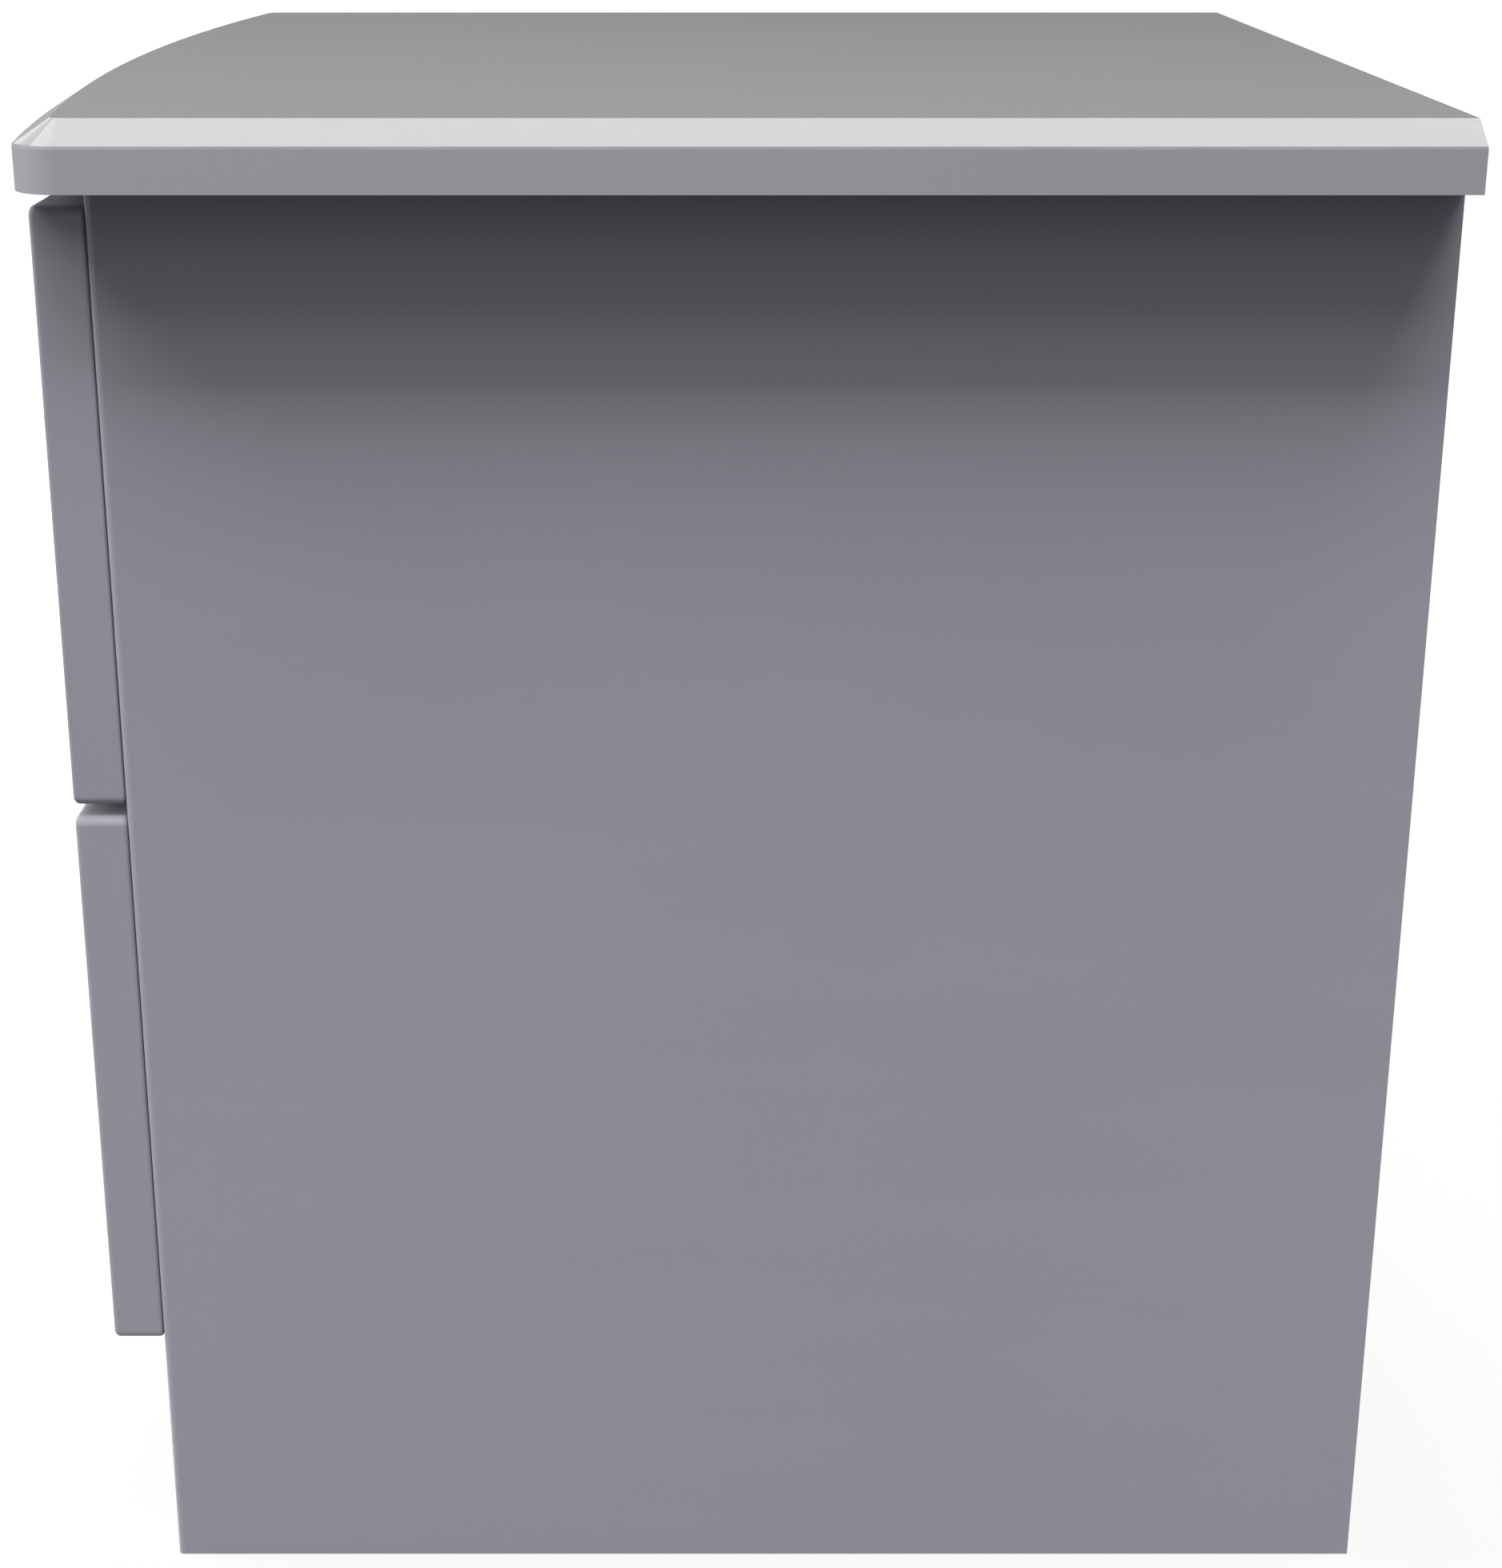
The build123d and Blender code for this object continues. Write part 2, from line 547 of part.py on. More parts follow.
def make_cabinet_runner(level, hand, side, front_bottom):
    """Folded channel on a side panel, cut open at the front for its roller and stopped at both ends."""
    floor = channel_floor(front_bottom)
    roof = channel_roof(front_bottom)
    inside = floor + RUNNER_STEEL
    section = [
        (0, floor),
        (CHANNEL_WIDTH, floor),
        (CHANNEL_WIDTH, inside),
        (RUNNER_STEEL, inside),
        (RUNNER_STEEL, roof),
        (CHANNEL_WIDTH, roof),
        (CHANNEL_WIDTH, roof + RUNNER_STEEL),
        (0, roof + RUNNER_STEEL),
    ]
    roof_front_y = FRONT_ROLLER_Y + ROLLER_RADIUS + ROOF_CLEARANCE
    across = sorted((slot_x(side, RUNNER_STEEL), slot_x(side, CHANNEL_WIDTH)))
    strip = folded(side, section, CHANNEL_FRONT_Y, CHANNEL_BACK_Y)
    roof_cut = board(across, (CHANNEL_FRONT_Y, roof_front_y), (roof, roof + RUNNER_STEEL))
    end_stop = board(across, (END_STOP_Y, CHANNEL_BACK_Y), (inside, roof))
    travel_stop = board(across, (TRAVEL_STOP_Y - RUNNER_STEEL, TRAVEL_STOP_Y), (roof - STOP_DROP, roof))
    face = slot_x(side, RUNNER_STEEL)
    outward = (-side, 0, 0)
    screws = [(face, y, rear_roller_z(front_bottom)) for y in CHANNEL_SCREWS_Y]
    rivet = (face, FRONT_ROLLER_Y, front_roller_z(front_bottom))
    with BuildPart() as runner:
        add(strip)
        add(roof_cut, mode=Mode.SUBTRACT)
        add(end_stop)
        add(travel_stop)
        drill(screws, outward, RUNNER_SCREW_DIAMETER / 2 + FIT, RUNNER_STEEL)
        drill([rivet], outward, RIVET_RADIUS + FIT, RUNNER_STEEL)
    write(runner.part, f"{level}_{hand}_cabinet_runner")


def make_cabinet_runner_screws():
    """Flat-headed screws that hold the channels to the side panels."""
    screw = turned([
        (SCREW_TIP_DIAMETER / 2, -RUNNER_STEEL - RUNNER_SCREW_BITE),
        (RUNNER_SCREW_DIAMETER / 2, -RUNNER_STEEL - RUNNER_SCREW_BITE + SCREW_TIP_LENGTH),
        (RUNNER_SCREW_DIAMETER / 2, 0),
        (RUNNER_SCREW_HEAD / 2, 0),
        (RUNNER_SCREW_HEAD / 2, RUNNER_SCREW_HEAD_HEIGHT),
    ])
    planes = [
        Plane((slot_x(side, RUNNER_STEEL), y, rear_roller_z(front_bottom)), z_dir=(-side, 0, 0))
        for front_bottom in DRAWERS.values()
        for side in SIDES.values()
        for y in CHANNEL_SCREWS_Y
    ]
    write(cluster(screw, planes), "cabinet_runner_screws")


def roller_rivet():
    """Rivet that a roller turns on, from the outer face of its steel strip at height zero."""
    seat = RUNNER_STEEL + RIVET_COLLAR
    head_from = seat + ROLLER_WIDTH + 2 * ROLLER_PLAY
    return turned([
        (RIVET_RADIUS, 0),
        (RIVET_RADIUS, RUNNER_STEEL),
        (RIVET_COLLAR_DIAMETER / 2, RUNNER_STEEL),
        (RIVET_COLLAR_DIAMETER / 2, seat),
        (RIVET_RADIUS, seat),
        (RIVET_RADIUS, head_from),
        (RIVET_HEAD_DIAMETER / 2, head_from),
        (RIVET_HEAD_DIAMETER / 2, head_from + RIVET_HEAD),
    ])


def make_cabinet_roller_rivets():
    """The four rivets of the rollers at the front of the carcass."""
    planes = [
        Plane((slot_x(side, 0), FRONT_ROLLER_Y, front_roller_z(front_bottom)), z_dir=(-side, 0, 0))
        for front_bottom in DRAWERS.values()
        for side in SIDES.values()
    ]
    write(cluster(roller_rivet(), planes), "cabinet_roller_rivets")


def make_roller(name, x_near, side, y, z):
    """Nylon roller with eased rims, its near face at a distance across the runner slot."""
    bore = RIVET_RADIUS + BORE_CLEARANCE
    rim = ROLLER_RADIUS - ROLLER_CHAMFER
    with BuildPart() as roller:
        with BuildSketch(Plane((slot_x(side, x_near), y, z), x_dir=(0, 1, 0), z_dir=(-side, 0, 0))):
            Circle(ROLLER_RADIUS)
            Circle(bore, mode=Mode.SUBTRACT)
        extrude(amount=ROLLER_WIDTH)
        rims = roller.edges().filter_by(GeomType.CIRCLE).filter_by(lambda edge: edge.radius > rim)
        chamfer(rims, ROLLER_CHAMFER)
    write(roller.part, name)


# Drawers


def make_front_panel(level, front_bottom):
    """Wrapped drawer front with rounded corners, well rounded face edges and eased back edges."""
    middle = front_bottom + FRONT_HEIGHT / 2
    handle_holes = [(x, FRONT_BACK_Y, middle) for x in (-HANDLE_SPACING / 2, HANDLE_SPACING / 2)]
    with BuildPart() as front_panel:
        with BuildSketch(Plane.XZ.offset(-FRONT_BACK_Y)):
            with Locations((0, middle)):
                RectangleRounded(FRONT_WIDTH, FRONT_HEIGHT, FRONT_CORNER_RADIUS)
        extrude(amount=FRONT_THICKNESS)
        fillet(front_panel.faces().sort_by(Axis.Y)[0].edges(), FRONT_EDGE_RADIUS)
        fillet(front_panel.faces().sort_by(Axis.Y)[-1].edges(), FRONT_BACK_RADIUS)
        drill(handle_holes, (0, 1, 0), HANDLE_SCREW_DIAMETER / 2 + FIT, FRONT_THICKNESS)
        drill(
            [(x, FRONT_BACK_Y, z) for x, z in front_screws_at(front_bottom)],
            (0, 1, 0),
            WOOD_SCREW_DIAMETER / 2 + FIT,
            FRONT_THICKNESS - FRONT_SCREW_COVER + DOWEL_END_GAP,
        )
    write(front_panel.part, f"{level}_front_panel")


def front_screws_at(front_bottom):
    """(x, z) of the screws that hold a drawer front to its box."""
    floor = box_floor(front_bottom)
    x = BOX_INNER_HALF - FRONT_SCREW_SIDE_INSET
    heights = (floor + FRONT_SCREW_EDGE_INSET, floor + BOX_HEIGHT - FRONT_SCREW_EDGE_INSET)
    return [(side * x, z) for side in SIDES.values() for z in heights]


def box_dowels_at(front_bottom):
    """(y, z) of the dowels between a drawer side and the boards at its two ends."""
    floor = box_floor(front_bottom)
    heights = (floor + BOX_DOWEL_INSET, floor + BOX_HEIGHT - BOX_DOWEL_INSET)
    middles = (FRONT_BACK_Y + BOX_BOARD / 2, BOX_BACK_Y - BOX_BOARD / 2)
    return [(y, z) for y in middles for z in heights]


def groove(x, y, floor):
    """Blank of the slot that holds a drawer's bottom panel, over a span on X and on Y."""
    low = floor + GROOVE_LIFT
    return board(x, y, (low - FIT, low + BOTTOM_THICKNESS + FIT))


def make_box_side(level, hand, side, front_bottom):
    """Drawer side, grooved for the bottom and drilled for dowels and runner screws."""
    floor = box_floor(front_bottom)
    x_span = sorted((side * BOX_INNER_HALF, side * BOX_HALF))
    blank = board(x_span, (FRONT_BACK_Y, BOX_BACK_Y), (floor, floor + BOX_HEIGHT))
    groove_x = sorted((side * BOX_INNER_HALF, side * (BOX_INNER_HALF + GROOVE_DEPTH)))
    slot = groove(groove_x, (FRONT_BACK_Y, BOX_BACK_Y), floor)
    dowels = [(side * BOX_INNER_HALF, y, z) for y, z in box_dowels_at(front_bottom)]
    screws = [(x, y, floor) for x, y in foot_screws_at() if x * side > 0]
    dowel_depth = BOX_BOARD - BOX_SIDE_COVER + DOWEL_END_GAP
    with BuildPart() as box_side:
        add(blank)
        fillet(box_side.edges().filter_by(Axis.Y).group_by(Axis.Z)[-1], BOX_EDGE_RADIUS)
        add(slot, mode=Mode.SUBTRACT)
        drill(dowels, (-side, 0, 0), BOX_DOWEL_DIAMETER / 2 + FIT, dowel_depth)
        drill(screws, (0, 0, -1), RUNNER_SCREW_DIAMETER / 2 + FIT, RUNNER_SCREW_BITE + DOWEL_END_GAP)
    write(box_side.part, f"{level}_drawer_{hand}_side")


def make_box_end(level, name, y_span, front_bottom):
    """Front or back board of a drawer box, between the sides."""
    floor = box_floor(front_bottom)
    blank = board((-BOX_INNER_HALF, BOX_INNER_HALF), y_span, (floor, floor + BOX_HEIGHT))
    inner_face = y_span[1] if name == "box_front" else y_span[0]
    inward = 1 if name == "box_front" else -1
    groove_y = sorted((inner_face, inner_face - inward * GROOVE_DEPTH))
    slot = groove((-BOX_INNER_HALF, BOX_INNER_HALF), groove_y, floor)
    middle = (y_span[0] + y_span[1]) / 2
    heights = [z for y, z in box_dowels_at(front_bottom) if y == middle]
    with BuildPart() as box_end:
        add(blank)
        fillet(box_end.edges().filter_by(Axis.X).group_by(Axis.Z)[-1], BOX_EDGE_RADIUS)
        add(slot, mode=Mode.SUBTRACT)
        for side in SIDES.values():
            dowels = [(side * BOX_INNER_HALF, middle, z) for z in heights]
            drill(dowels, (side, 0, 0), BOX_DOWEL_DIAMETER / 2 + FIT, DOWEL_BITE + DOWEL_END_GAP)
        if name == "box_front":
            screws = [(x, inner_face, z) for x, z in front_screws_at(front_bottom)]
            drill(screws, (0, 1, 0), WOOD_SCREW_DIAMETER / 2 + FIT, BOX_BOARD)
            z = front_bottom + FRONT_HEIGHT / 2
            handle_holes = [(x, inner_face, z) for x in (-HANDLE_SPACING / 2, HANDLE_SPACING / 2)]
            drill(handle_holes, (0, 1, 0), HANDLE_SCREW_DIAMETER / 2 + FIT, BOX_BOARD)
    write(box_end.part, f"{level}_drawer_{name}")


def make_box_bottom(level, front_bottom):
    """Thin drawer bottom that sits in the grooves of the box."""
    low = box_floor(front_bottom) + GROOVE_LIFT
    reach = GROOVE_DEPTH - GROOVE_END_GAP
    x = BOX_INNER_HALF + reach
    y_span = (BOX_INNER_FRONT_Y - reach, BOX_INNER_BACK_Y + reach)
    write(board((-x, x), y_span, (low, low + BOTTOM_THICKNESS)), f"{level}_drawer_bottom")


def make_box_dowels(level, front_bottom):
    """Dowels in the four corners of a drawer box."""
    radius = BOX_DOWEL_DIAMETER / 2
    dowel = turned([(radius, BOX_SIDE_COVER - BOX_BOARD), (radius, DOWEL_BITE)])
    planes = [
        Plane((side * BOX_INNER_HALF, y, z), z_dir=(-side, 0, 0))
        for side in SIDES.values()
        for y, z in box_dowels_at(front_bottom)
    ]
    write(cluster(dowel, planes), f"{level}_drawer_dowels")


def make_front_screws(level, front_bottom):
    """Screws through the box front that hold the drawer front on."""
    shank = WOOD_SCREW_DIAMETER / 2
    length = BOX_BOARD + FRONT_THICKNESS - FRONT_SCREW_COVER
    screw = turned([
        (SCREW_TIP_DIAMETER / 2, -length),
        (shank, SCREW_TIP_LENGTH - length),
        (shank, 0),
        (WOOD_SCREW_HEAD / 2, 0),
        (WOOD_SCREW_HEAD / 2, HEAD_RIM),
        (HEAD_CROWN_DIAMETER / 2, WOOD_SCREW_HEAD_HEIGHT),
    ])
    planes = [Plane((x, BOX_INNER_FRONT_Y, z), z_dir=(0, 1, 0)) for x, z in front_screws_at(front_bottom)]
    write(cluster(screw, planes), f"{level}_front_screws")


def make_handle(level, front_bottom):
    """Bow handle: a bar that arches between two feet, thickest where it meets the drawer front."""
    middle = front_bottom + FRONT_HEIGHT / 2
    toe_x = (HANDLE_SPACING + HANDLE_FOOT_LENGTH) / 2
    heel_x = (HANDLE_SPACING - HANDLE_FOOT_LENGTH) / 2
    crown_y = FRONT_FACE_Y - HANDLE_PROJECTION
    toe_y = FRONT_FACE_Y - HANDLE_TOE
    threads = [(x, FRONT_FACE_Y, middle) for x in (-HANDLE_SPACING / 2, HANDLE_SPACING / 2)]
    with BuildPart() as handle:
        with BuildSketch(Plane.XY.offset(middle - HANDLE_WIDTH / 2)):
            with BuildLine():
                Polyline((-heel_x, FRONT_FACE_Y), (-toe_x, FRONT_FACE_Y), (-toe_x, toe_y))
                ThreePointArc((-toe_x, toe_y), (0, crown_y), (toe_x, toe_y))
                Polyline((toe_x, toe_y), (toe_x, FRONT_FACE_Y), (heel_x, FRONT_FACE_Y))
                ThreePointArc((heel_x, FRONT_FACE_Y), (0, crown_y + HANDLE_BAR), (-heel_x, FRONT_FACE_Y))
            make_face()
        extrude(amount=HANDLE_WIDTH)
        inner_bow = handle.edges().filter_by(GeomType.CIRCLE).group_by(Axis.Y)[1]
        fillet(inner_bow, HANDLE_INNER_ROUNDING)
        outer_bow = handle.edges().filter_by(GeomType.CIRCLE).group_by(Axis.Y)[0]
        toe_corners = handle.edges().filter_by(Axis.Z).group_by(Axis.Y)[0]
        fillet(outer_bow + toe_corners, HANDLE_OUTER_ROUNDING)
        drill(threads, (0, 1, 0), HANDLE_SCREW_DIAMETER / 2 + FIT, HANDLE_THREAD_DEPTH + DOWEL_END_GAP)
    write(handle.part, f"{level}_handle")


def make_handle_screws(level, front_bottom):
    """Machine screws from inside the drawer into the handle's feet."""
    shank = HANDLE_SCREW_DIAMETER / 2
    length = BOX_BOARD + FRONT_THICKNESS + HANDLE_THREAD_DEPTH
    screw = turned([
        (shank, -length),
        (shank, 0),
        (HANDLE_SCREW_HEAD / 2, 0),
        (HANDLE_SCREW_HEAD / 2, HEAD_RIM),
        (HEAD_CROWN_DIAMETER / 2, HANDLE_SCREW_HEAD_HEIGHT),
    ])
    z = front_bottom + FRONT_HEIGHT / 2
    planes = [
        Plane((x, BOX_INNER_FRONT_Y, z), z_dir=(0, 1, 0)) for x in (-HANDLE_SPACING / 2, HANDLE_SPACING / 2)
    ]
    write(cluster(screw, planes), f"{level}_handle_screws")


def foot_screws_at():
    """(x, y) of the screws that hold the drawer runners under the drawer sides."""
    x = BOX_HALF - RUNNER_SCREW_INSET
    places = (RUNNER_FRONT_Y + FOOT_SCREW_INSET, RUNNER_FRONT_Y + RUNNER_LENGTH - FOOT_SCREW_INSET)
    return [(side * x, y) for side in SIDES.values() for y in places]


def make_drawer_runner(level, hand, side, front_bottom):
    """Folded strip under a drawer side: a foot below it, a web beside it and a rail that rolls."""
    foot = box_floor(front_bottom) - RUNNER_STEEL
    rolling = rail_underside(front_bottom)
    section = [
        (RUNNER_SPACE + BOX_BOARD, foot),
        (RUNNER_SPACE + BOX_BOARD, foot + RUNNER_STEEL),
        (RUNNER_SPACE, foot + RUNNER_STEEL),
        (RUNNER_SPACE, rolling + RUNNER_STEEL),
        (RAIL_TIP, rolling + RUNNER_STEEL),
        (RAIL_TIP, rolling),
        (RUNNER_SPACE - RUNNER_STEEL, rolling),
        (RUNNER_SPACE - RUNNER_STEEL, foot),
    ]
    strip = folded(side, section, RUNNER_FRONT_Y, RUNNER_FRONT_Y + RUNNER_LENGTH)
    rivet = (slot_x(side, RUNNER_SPACE - RUNNER_STEEL), REAR_ROLLER_Y, rear_roller_z(front_bottom))
    screws = [(x, y, foot) for x, y in foot_screws_at() if x * side > 0]
    with BuildPart() as runner:
        add(strip)
        drill([rivet], (side, 0, 0), RIVET_RADIUS + FIT, RUNNER_STEEL)
        drill(screws, (0, 0, -1), RUNNER_SCREW_DIAMETER / 2 + FIT, RUNNER_STEEL)
    write(runner.part, f"{level}_drawer_{hand}_runner")


def make_drawer_runner_screws(level, front_bottom):
    """Screws up through the runners into the lower edges of the drawer sides."""
    screw = turned([
        (RUNNER_SCREW_HEAD / 2, -RUNNER_SCREW_HEAD_HEIGHT),
        (RUNNER_SCREW_HEAD / 2, 0),
        (RUNNER_SCREW_DIAMETER / 2, 0),
        (RUNNER_SCREW_DIAMETER / 2, RUNNER_STEEL + RUNNER_SCREW_BITE - SCREW_TIP_LENGTH),
        (SCREW_TIP_DIAMETER / 2, RUNNER_STEEL + RUNNER_SCREW_BITE),
    ])
    foot = box_floor(front_bottom) - RUNNER_STEEL
    planes = [Plane((x, y, foot), z_dir=(0, 0, 1)) for x, y in foot_screws_at()]
    write(cluster(screw, planes), f"{level}_drawer_runner_screws")


def make_drawer_roller_rivets(level, front_bottom):
    """The two rivets of the rollers at the back of a drawer."""
    planes = [
        Plane((slot_x(side, RUNNER_SPACE), REAR_ROLLER_Y, rear_roller_z(front_bottom)), z_dir=(side, 0, 0))
        for side in SIDES.values()
    ]
    write(cluster(roller_rivet(), planes), f"{level}_drawer_roller_rivets")


def make_carcass():
    """Every fixed piece of the cabinet."""
    make_top_panel()
    make_base_panel()
    make_plinth_board()
    make_top_rail("front_top_rail", CARCASS_FRONT_Y)
    make_top_rail("rear_top_rail", REAR_RAIL_FRONT_Y)
    make_back_panel()
    make_carcass_dowels()
    make_cam_fittings()
    make_top_fixing_screws()
    make_back_panel_pins()
    make_cabinet_runner_screws()
    make_cabinet_roller_rivets()
    for hand, side in SIDES.items():
        make_side_panel(hand, side)
        make_edging(hand, side)


def make_drawer(level, front_bottom):
    """One drawer, and the runners and rollers that carry it."""
    make_front_panel(level, front_bottom)
    make_box_end(level, "box_front", (FRONT_BACK_Y, BOX_INNER_FRONT_Y), front_bottom)
    make_box_end(level, "box_back", (BOX_INNER_BACK_Y, BOX_BACK_Y), front_bottom)
    make_box_bottom(level, front_bottom)
    make_box_dowels(level, front_bottom)
    make_front_screws(level, front_bottom)
    make_handle(level, front_bottom)
    make_handle_screws(level, front_bottom)
    make_drawer_runner_screws(level, front_bottom)
    make_drawer_roller_rivets(level, front_bottom)
    front_axle = front_roller_z(front_bottom)
    rear_axle = rear_roller_z(front_bottom)
    for hand, side in SIDES.items():
        make_box_side(level, hand, side, front_bottom)
        make_cabinet_runner(level, hand, side, front_bottom)
        make_drawer_runner(level, hand, side, front_bottom)
        make_roller(f"{level}_{hand}_front_roller", FRONT_ROLLER_NEAR, side, FRONT_ROLLER_Y, front_axle)
        make_roller(f"{level}_{hand}_rear_roller", REAR_ROLLER_NEAR, side, REAR_ROLLER_Y, rear_axle)


def main():
    """Builds every piece and writes it to the parts folder."""
    os.makedirs("parts", exist_ok=True)
    make_carcass()
    for level, front_bottom in DRAWERS.items():
        make_drawer(level, front_bottom)


if __name__ == "__main__":
    main()
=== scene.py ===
"""Looks of a two-drawer bedside cabinet: its finishes, its small fittings, a studio and a camera.

The boards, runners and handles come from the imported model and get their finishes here. Screws, pins, rivets and
rollers repeat, so Geometry Nodes trees make them again with drives, threads and ribs, on the places where the
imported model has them. Sizes are in metres.
"""

import logging
import math
from dataclasses import dataclass, field
from enum import Enum
from typing import Union

import bmesh
import bpy
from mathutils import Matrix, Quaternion, Vector


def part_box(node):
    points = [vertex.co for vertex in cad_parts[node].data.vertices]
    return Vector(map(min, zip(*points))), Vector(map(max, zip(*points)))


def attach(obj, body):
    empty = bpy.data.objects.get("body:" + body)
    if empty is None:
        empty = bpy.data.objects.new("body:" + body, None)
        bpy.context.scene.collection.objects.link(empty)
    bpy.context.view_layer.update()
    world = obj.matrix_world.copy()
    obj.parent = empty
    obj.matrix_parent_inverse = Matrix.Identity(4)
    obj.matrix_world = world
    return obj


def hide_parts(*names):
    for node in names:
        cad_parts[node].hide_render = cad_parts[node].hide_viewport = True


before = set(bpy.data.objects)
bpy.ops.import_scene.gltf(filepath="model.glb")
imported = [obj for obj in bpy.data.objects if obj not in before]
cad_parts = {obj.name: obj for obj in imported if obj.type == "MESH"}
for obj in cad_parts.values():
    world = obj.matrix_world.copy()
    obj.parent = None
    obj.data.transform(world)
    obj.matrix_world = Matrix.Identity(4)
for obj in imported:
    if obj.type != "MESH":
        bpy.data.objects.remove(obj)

LOG = logging.getLogger("bedside_cabinet")
MM = 0.001

Colour = tuple[float, float, float]
Point = tuple[float, float, float]
Feed = Union[bpy.types.NodeSocket, float, int, bool, str, tuple]


class Level(Enum):
    """The two drawers, by the word that starts the names of their pieces."""

    LOWER = "lower"
    UPPER = "upper"


class Hand(Enum):
    """The two sides of the cabinet, seen from the front."""

    LEFT = "left"
    RIGHT = "right"


class Axis(Enum):
    """Direction that a fastener or roller lies along."""

    X = 0
    Y = 1
    Z = 2


class Drive(Enum):
    """What is cut into the head of a fastener."""

    CROSS = "cross"
    PLAIN = "plain"


# Node trees


@dataclass
class Wiring:
    """A node tree, with short calls that add nodes and join them.

    Attributes:
        tree: The shader or geometry tree that is being filled.
    """

    tree: bpy.types.NodeTree

    def feed(self, socket: bpy.types.NodeSocket, value: Feed) -> None:
        """Links an output to a socket, or sets the socket's own value.

        Args:
            socket: The input that is filled.
            value: An output socket to link, or a plain value.
        """
        if isinstance(value, bpy.types.NodeSocket):
            self.tree.links.new(value, socket)
        elif socket.type == "RGBA" and len(value) == 3:
            socket.default_value = (*value, 1.0)
        else:
            socket.default_value = value

    def add(self, kind: str, inputs: dict | None = None, **settings: object) -> bpy.types.Node:
        """Adds a node.

        Args:
            kind: Blender's name for the type of node.
            inputs: Values or outputs for its inputs, by name or number.
            settings: Properties of the node.

        Returns:
            The new node.
        """
        node = self.tree.nodes.new(kind)
        for name, value in settings.items():
            setattr(node, name, value)
        for name, value in (inputs or {}).items():
            self.feed(node.inputs[name], value)
        return node

    def math(self, operation: str, first: Feed, second: Feed = 0.0, clamp: bool = False) -> bpy.types.NodeSocket:
        """Adds a sum on one or two numbers.

        Args:
            operation: Blender's name for the operation.
            first: The first number.
            second: The second number, where the operation has one.
            clamp: Whether the result is held between 0 and 1.

        Returns:
            The result's socket.
        """
        return self.add("ShaderNodeMath", {0: first, 1: second}, operation=operation, use_clamp=clamp).outputs[0]

    def total(self, values: list[Feed]) -> Feed:
        """Adds up any number of values; none at all makes zero."""
        result: Feed = values[0] if values else 0.0
        for value in values[1:]:
            result = self.math("ADD", result, value)
        return result

    def mix(self, share: Feed, first: Feed, second: Feed) -> bpy.types.NodeSocket:
        """Mixes two colours; a share of 1 gives the second."""
        return self.add("ShaderNodeMix", {0: share, 6: first, 7: second}, data_type="RGBA").outputs[2]

    def span(self, value: Feed, low: Feed, high: Feed, start: Feed = 0.0, end: Feed = 1.0) -> bpy.types.NodeSocket:
        """Maps a range of values softly onto another.

        Args:
            value: The number that is mapped.
            low: The value that gives start.
            high: The value that gives end.
            start: The result at and below low.
            end: The result at and above high.

        Returns:
            The result's socket.
        """
        sockets = {"Value": value, "From Min": low, "From Max": high, "To Min": start, "To Max": end}
        return self.add("ShaderNodeMapRange", sockets, interpolation_type="SMOOTHSTEP").outputs["Result"]

    def noise(self, place: Feed, scale: Feed, detail: float = 2.0) -> bpy.types.NodeSocket:
        """Cloudy noise between 0 and 1 at a place."""
        return self.add("ShaderNodeTexNoise", {"Vector": place, "Scale": scale, "Detail": detail}).outputs[0]

    def split(self, vector: Feed) -> tuple[bpy.types.NodeSocket, ...]:
        """The three parts of a vector."""
        return tuple(self.add("ShaderNodeSeparateXYZ", {0: vector}).outputs)

    def join(self, x: Feed, y: Feed, z: Feed) -> bpy.types.NodeSocket:
        """A vector from its three parts."""
        return self.add("ShaderNodeCombineXYZ", {0: x, 1: y, 2: z}).outputs[0]

    def scaled(self, vector: Feed, factors: Feed) -> bpy.types.NodeSocket:
        """A vector multiplied part by part."""
        return self.add("ShaderNodeVectorMath", {0: vector, 1: factors}, operation="MULTIPLY").outputs[0]


def open_tree(name: str, kind: str, inputs: dict[str, tuple[str, object]], outputs: dict[str, str]) -> Wiring:
    """Makes a node group with named sockets.

    Args:
        name: The group's name.
        kind: Blender's name for the type of tree.
        inputs: Each input's socket type and first value, by name.
        outputs: Each output's socket type, by name.

    Returns:
        The wiring of the empty group.
    """
    tree = bpy.data.node_groups.new(name, kind)
    for socket_name, (socket_type, value) in inputs.items():
        socket = tree.interface.new_socket(socket_name, in_out="INPUT", socket_type=socket_type)
        if value is not None:
            socket.default_value = value
    for socket_name, socket_type in outputs.items():
        tree.interface.new_socket(socket_name, in_out="OUTPUT", socket_type=socket_type)
    return Wiring(tree)


# Effects that several finishes share


